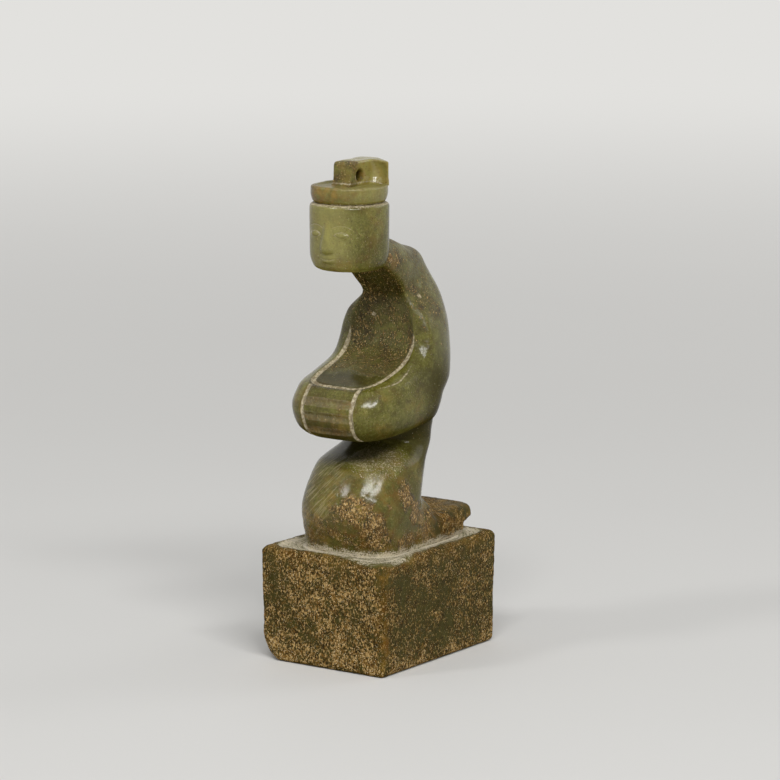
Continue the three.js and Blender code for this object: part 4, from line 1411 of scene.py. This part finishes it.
# Painted light: the head is lighter everywhere except on its left side.
mark(pieces["head"], line_gap=line_gap(points, head_lines), deposit=np.clip(seam, 0, 1), crust=dusty + 0.1,
     stain=np.clip(0.5 * chin + 0.4 * fade(lumps(points, 3, 57), -0.2, 0.7), 0, 1),
     shade=-0.4 * fall(x, 2, 5), matt=0.1)
points, x, y, z = spots_of(pieces["cap_band"])
seam = fall(z - cap_z, 0.1, 0.4) * (0.7 + 0.16 * lumps(points, 1.3, 58))
brim = near(points, (-2, -13.2, 76.2), (5.4, 3.6, 2.4), 0.6, 1.2, (0.3, 1.6, 59))
top = fade(z, cap_z + 2.3, cap_z + 2.5)
# Painted light: the cap is lighter all over. The amber brim is darker in tone.
mark(pieces["cap_band"], deposit=np.clip(seam, 0, 1), stain=np.clip(0.25 + 0.9 * brim, 0, 1),
     shade=0.25 * brim - 0.35, matt=0.1 + 0.5 * top, streaks=0.4 * top, across=y, along=x)
points, x, y, z = spots_of(pieces["cap_crest"])
fin_side = fall(y, fin_front + 1.2, fin_front + 3)
from_hole = np.hypot(y - hole_y, z - hole_z)
painted_shade_in_hole = fall(from_hole, 0.8, 1.3)
step_z = cap_z + CAP_HEIGHT + 0.3 - 0.2 * np.clip(np.abs(x) - FIN_WIDTH / 2, 0, 4)
# Powder lines at the step round the crest and beside the hole, partly painted glints.
step_powder_and_painted_glint = fall(np.abs(z - step_z), 0.05, 0.2)
hole_powder_and_painted_glint = fall(np.hypot(y - hole_y + 1.1, 0.4 * (z - hole_z + 0.2)), 0.1, 0.35)
# Painted shade in the cord hole, and painted light on the crest away from the fin's side.
mark(pieces["cap_crest"], stain=np.clip(0.45 + 0.5 * fall(from_hole, 0.8, 2.2), 0, 1),
     deposit=0.7 * np.maximum(step_powder_and_painted_glint, hole_powder_and_painted_glint) + 0.08 * lumps(points, 0.8, 60),
     crust=0.12 + 0.4 * fin_side, matt=0.15 + 0.6 * fin_side,
     shade=0.9 * painted_shade_in_hole - 0.65 * (1 - fin_side) * (1 - painted_shade_in_hole))

# %% [markdown]
# One recipe makes both finishes, because they are the same stone. It reads the numbers of the
# points and the Object coordinates, turned into millimetres, so that patterns stay on the stone.
# Grains and pits lie in layers in the stone, so they use places that are squeezed in height.

# %% What a finish reads
PER_MM = 1 / MILLIMETRE
LAYER_SQUEEZE = 0.56


def raised(base, field, share, **more):
    """A value with a share of another added to it."""
    return add(base, times(field, share), **more)


def stone_numbers(tree):
    names = ("crust", "stain", "shade", "deposit", "matt", "streaks", "across", "along", "line_gap")
    at = {name: node(tree, "ShaderNodeAttribute", {"attribute_name": name}).outputs["Fac"] for name in names}
    spot = node(tree, "ShaderNodeTexCoord").outputs["Object"]
    for name, squeeze in (("place", 1), ("layers", LAYER_SQUEEZE)):
        scale = (PER_MM, PER_MM, PER_MM * squeeze)
        at[name] = node(tree, "ShaderNodeMapping", Vector=spot, Scale=scale).outputs[0]
    at["clouds"] = noise(at["place"], 0.16, 4.0)
    at["mottle"] = noise(at["place"], 0.5, 4.0, 0.6)
    at["crust"] = times(at["crust"], raised(0.1, at["mottle"], 1.8))
    return SimpleNamespace(**at)


print("patterns use", PER_MM, "units to the metre")

# %% [markdown]
# Under everything is the polished green. Broad clouds come first, then veins, small clouds and
# fine mottling, each a darker or paler green over the last. Flecks of brown are round cells, and
# a cell's own random colour says how large its fleck is.


# %% Green stone
def cells_of(place, scale):
    return node(tree_of(place), "ShaderNodeTexVoronoi", Vector=place, Scale=scale).outputs


def green_stone(at):
    veins = noise(at.place, 0.55, 5.0, 0.62, 0.8)
    small_clouds = noise(at.place, 1.1, 3.0, 0.6)
    sand = noise(at.place, 3.2, 3.0, 0.7)
    green = mix(soft_step(at.clouds, 0.35, 0.68), tone(82, 79, 24), tone(112, 110, 48))
    for field, start, end, share, shown in (
        (veins, 0.5, 0.72, 0.6, (66, 58, 18)),
        (small_clouds, 0.46, 0.66, 0.45, (76, 66, 26)), (small_clouds, 0.44, 0.3, 0.35, (138, 136, 78)),
        (sand, 0.5, 0.66, 0.5, (66, 56, 20)), (sand, 0.44, 0.32, 0.4, (158, 150, 92)),
    ):
        green = mix(times(soft_step(field, start, end), share), green, tone(*shown))
    # Darkening for the block's dark ground and for painted shade, then lightening below zero for painted
    # light.
    green = mix(at.shade, green, tone(56, 51, 20))
    green = mix(times(at.shade, -1.0, clamp=True), green, tone(162, 154, 88))
    flecks = cells_of(at.place, 2.2)
    size = times(node(tree_of(at.place), "ShaderNodeSeparateColor", Color=flecks["Color"]), 0.25)
    fleck = times(calc("LESS_THAN", flecks["Distance"], size), raised(0.45, at.stain, 0.5))
    return mix(fleck, green, tone(92, 56, 22))


print("the darkest green is", [round(value, 3) for value in tone(56, 51, 20)])

# %% [markdown]
# Over the green come the brown ground of the crust and the amber stain, then the crust's dark pits, its tan
# grains and a few pale specks that are painted glints. The grains and pits also steer the bump further down.


# %% Crust
def crust_over(at, green):
    ground_share = soft_step(raised(at.crust, less(at.mottle, 0.5), 1.2), 0.2, 0.95)
    at.ground_share = times(ground_share, 0.85)
    ground = mix(soft_step(noise(at.place, 0.9, 4.0), 0.38, 0.62), tone(48, 36, 12), tone(78, 68, 34))
    tint = mix(at.ground_share, green, ground)
    amber_share = times(at.stain, soft_step(noise(at.place, 0.7, 5.0, 0.6), 0.34, 0.66))
    amber = mix(soft_step(at.clouds, 0.4, 0.6), tone(112, 74, 22), tone(142, 112, 48))
    tint = mix(times(amber_share, 0.75), tint, amber)
    at.holes = soft_step(raised(noise(at.layers, 5.0, 2.0, 0.6, 0.2), at.crust, 0.22), 0.74, 0.79)
    tint = mix(at.holes, tint, tone(34, 22, 8))
    at.grains = soft_step(raised(noise(at.layers, 4.2, 2.5, 0.62, 0.4), at.crust, 0.27), 0.73, 0.78)
    grain_tone = mix(soft_step(noise(at.place, 2.4), 0.4, 0.62), tone(118, 86, 38), tone(196, 164, 106))
    tint = mix(times(at.grains, 0.92), tint, grain_tone)
    # Painted glints: tiny pale specks where the crust would sparkle.
    painted_glint_speck = calc("LESS_THAN", cells_of(at.place, 3.0)["Distance"], times(at.crust, 0.2))
    return mix(painted_glint_speck, tint, tone(228, 208, 164))


print("the palest grain is", [round(value, 3) for value in tone(228, 208, 164)])

# %% [markdown]
# Last come the wheel's grey streaks and the pale powder. Powder fills the cut lines by their
# distance, and elsewhere it breaks up into speckles, or into streaks where the wheel went.


# %% Streaks and powder
def powder_over(at, tint):
    run = node(tree_of(tint), "ShaderNodeCombineXYZ", X=times(at.across, 4.2), Y=times(at.along, 0.3))
    streak_noise = noise(run, 1.0, 3.0, 0.65)
    at.scratch = times(soft_step(streak_noise, 0.5, 0.62), at.streaks)
    tint = mix(times(at.scratch, 0.5), tint, tone(180, 164, 120))
    speckle = noise(at.place, 4.4, 2.0, 0.6)
    drawn = mix(times(at.streaks, 0.45), speckle, streak_noise)
    in_line = times(soft_step(at.line_gap, LINE_EDGE, 0.01), soft_step(speckle, 0.16, 0.38))
    at.powder = most(soft_step(raised(at.deposit, less(drawn, 0.5), 2.4), 0.34, 0.78), in_line)
    pale = mix(soft_step(noise(at.place, 2.0), 0.4, 0.62), tone(138, 125, 98), tone(196, 184, 154))
    pale = mix(times(at.streaks, 0.6), pale, tone(232, 222, 200))
    return mix(times(at.powder, 0.9), tint, pale)


print("powder fills a line out to", LINE_EDGE, "mm from its edge")

# %% [markdown]
# Grains and powder make the surface rougher. The fine grain is too small for the skin, so it is in
# the shader's bump. Undersides stay dull, because the polishing cloth doesn't reach them. A little
# light goes into the stone and comes out again beside its way in, as in real jade.


# %% The two finishes
def surface(at, shader, roughness):
    tree = shader.id_data
    coarse = most(at.grains, times(at.ground_share, 0.55))
    rough = raised(raised(roughness, at.matt, 0.34), most(coarse, at.powder), 0.4)
    rough = raised(rough, noise(at.place, 1.8, 4.0), 0.08, clamp=True)
    tree.links.new(rough, shader.inputs["Roughness"])
    high = times(noise(at.place, 3.0, 5.0, 0.6), add(0.06, raised(at.ground_share, at.matt, 0.5)))
    for field, share in ((at.grains, 0.5), (at.holes, -0.7), (at.scratch, 0.3)):
        high = raised(high, field, share)
    bump = node(tree, "ShaderNodeBump", Strength=0.7, Distance=0.0002, Height=high)
    tree.links.new(bump.outputs[0], shader.inputs["Normal"])
    facing = node(tree, "ShaderNodeNewGeometry").outputs["Normal"]
    up_down = node(tree, "ShaderNodeSeparateXYZ", Vector=facing).outputs["Z"]
    level = times(raised(0.34, at.shade, -0.32), soft_step(up_down, -0.6, -0.1))
    tree.links.new(level, shader.inputs["Specular IOR Level"])


def stone_finish(name, roughness):
    material = bpy.data.materials.new(name)
    material.use_nodes = True
    tree = material.node_tree
    shader = tree.nodes["Principled BSDF"]
    at = stone_numbers(tree)
    tint = powder_over(at, crust_over(at, green_stone(at)))
    tree.links.new(tint, shader.inputs["Base Color"])
    surface(at, shader, roughness)
    shader.inputs["IOR"].default_value = 1.5
    shader.inputs["Subsurface Weight"].default_value = 0.1
    shader.inputs["Subsurface Radius"].default_value = (1.0, 0.9, 0.35)
    shader.inputs["Subsurface Scale"].default_value = 0.001
    return material


polished = stone_finish("polished_green_stone", 0.11)
crusted = stone_finish("crusted_green_stone", 0.3)
print("finishes:", polished.name, "and", crusted.name)

# %% [markdown]
# Last, each region takes its finish, rides on the one rigid body and stands in for its node of the
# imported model.

# %% Finish and attach
weathered = {"seal_block", "seal_face", "tucked_feet"}
for name, item in pieces.items():
    item.data.materials.append(crusted if name in weathered else polished)
    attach(item, "root")
    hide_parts(name)
    print(name, "is now", item.name)

# %% [markdown]
# The size of what is shown is printed and kept beside the size of the imported model, so that the two can be
# compared.

# %% Sizes
boxes = {"cad": cad_box, "visual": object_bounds()}
shown_box = np.array(boxes["visual"], float) / MILLIMETRE
print("visual box in mm:", shown_box.round(2).tolist())
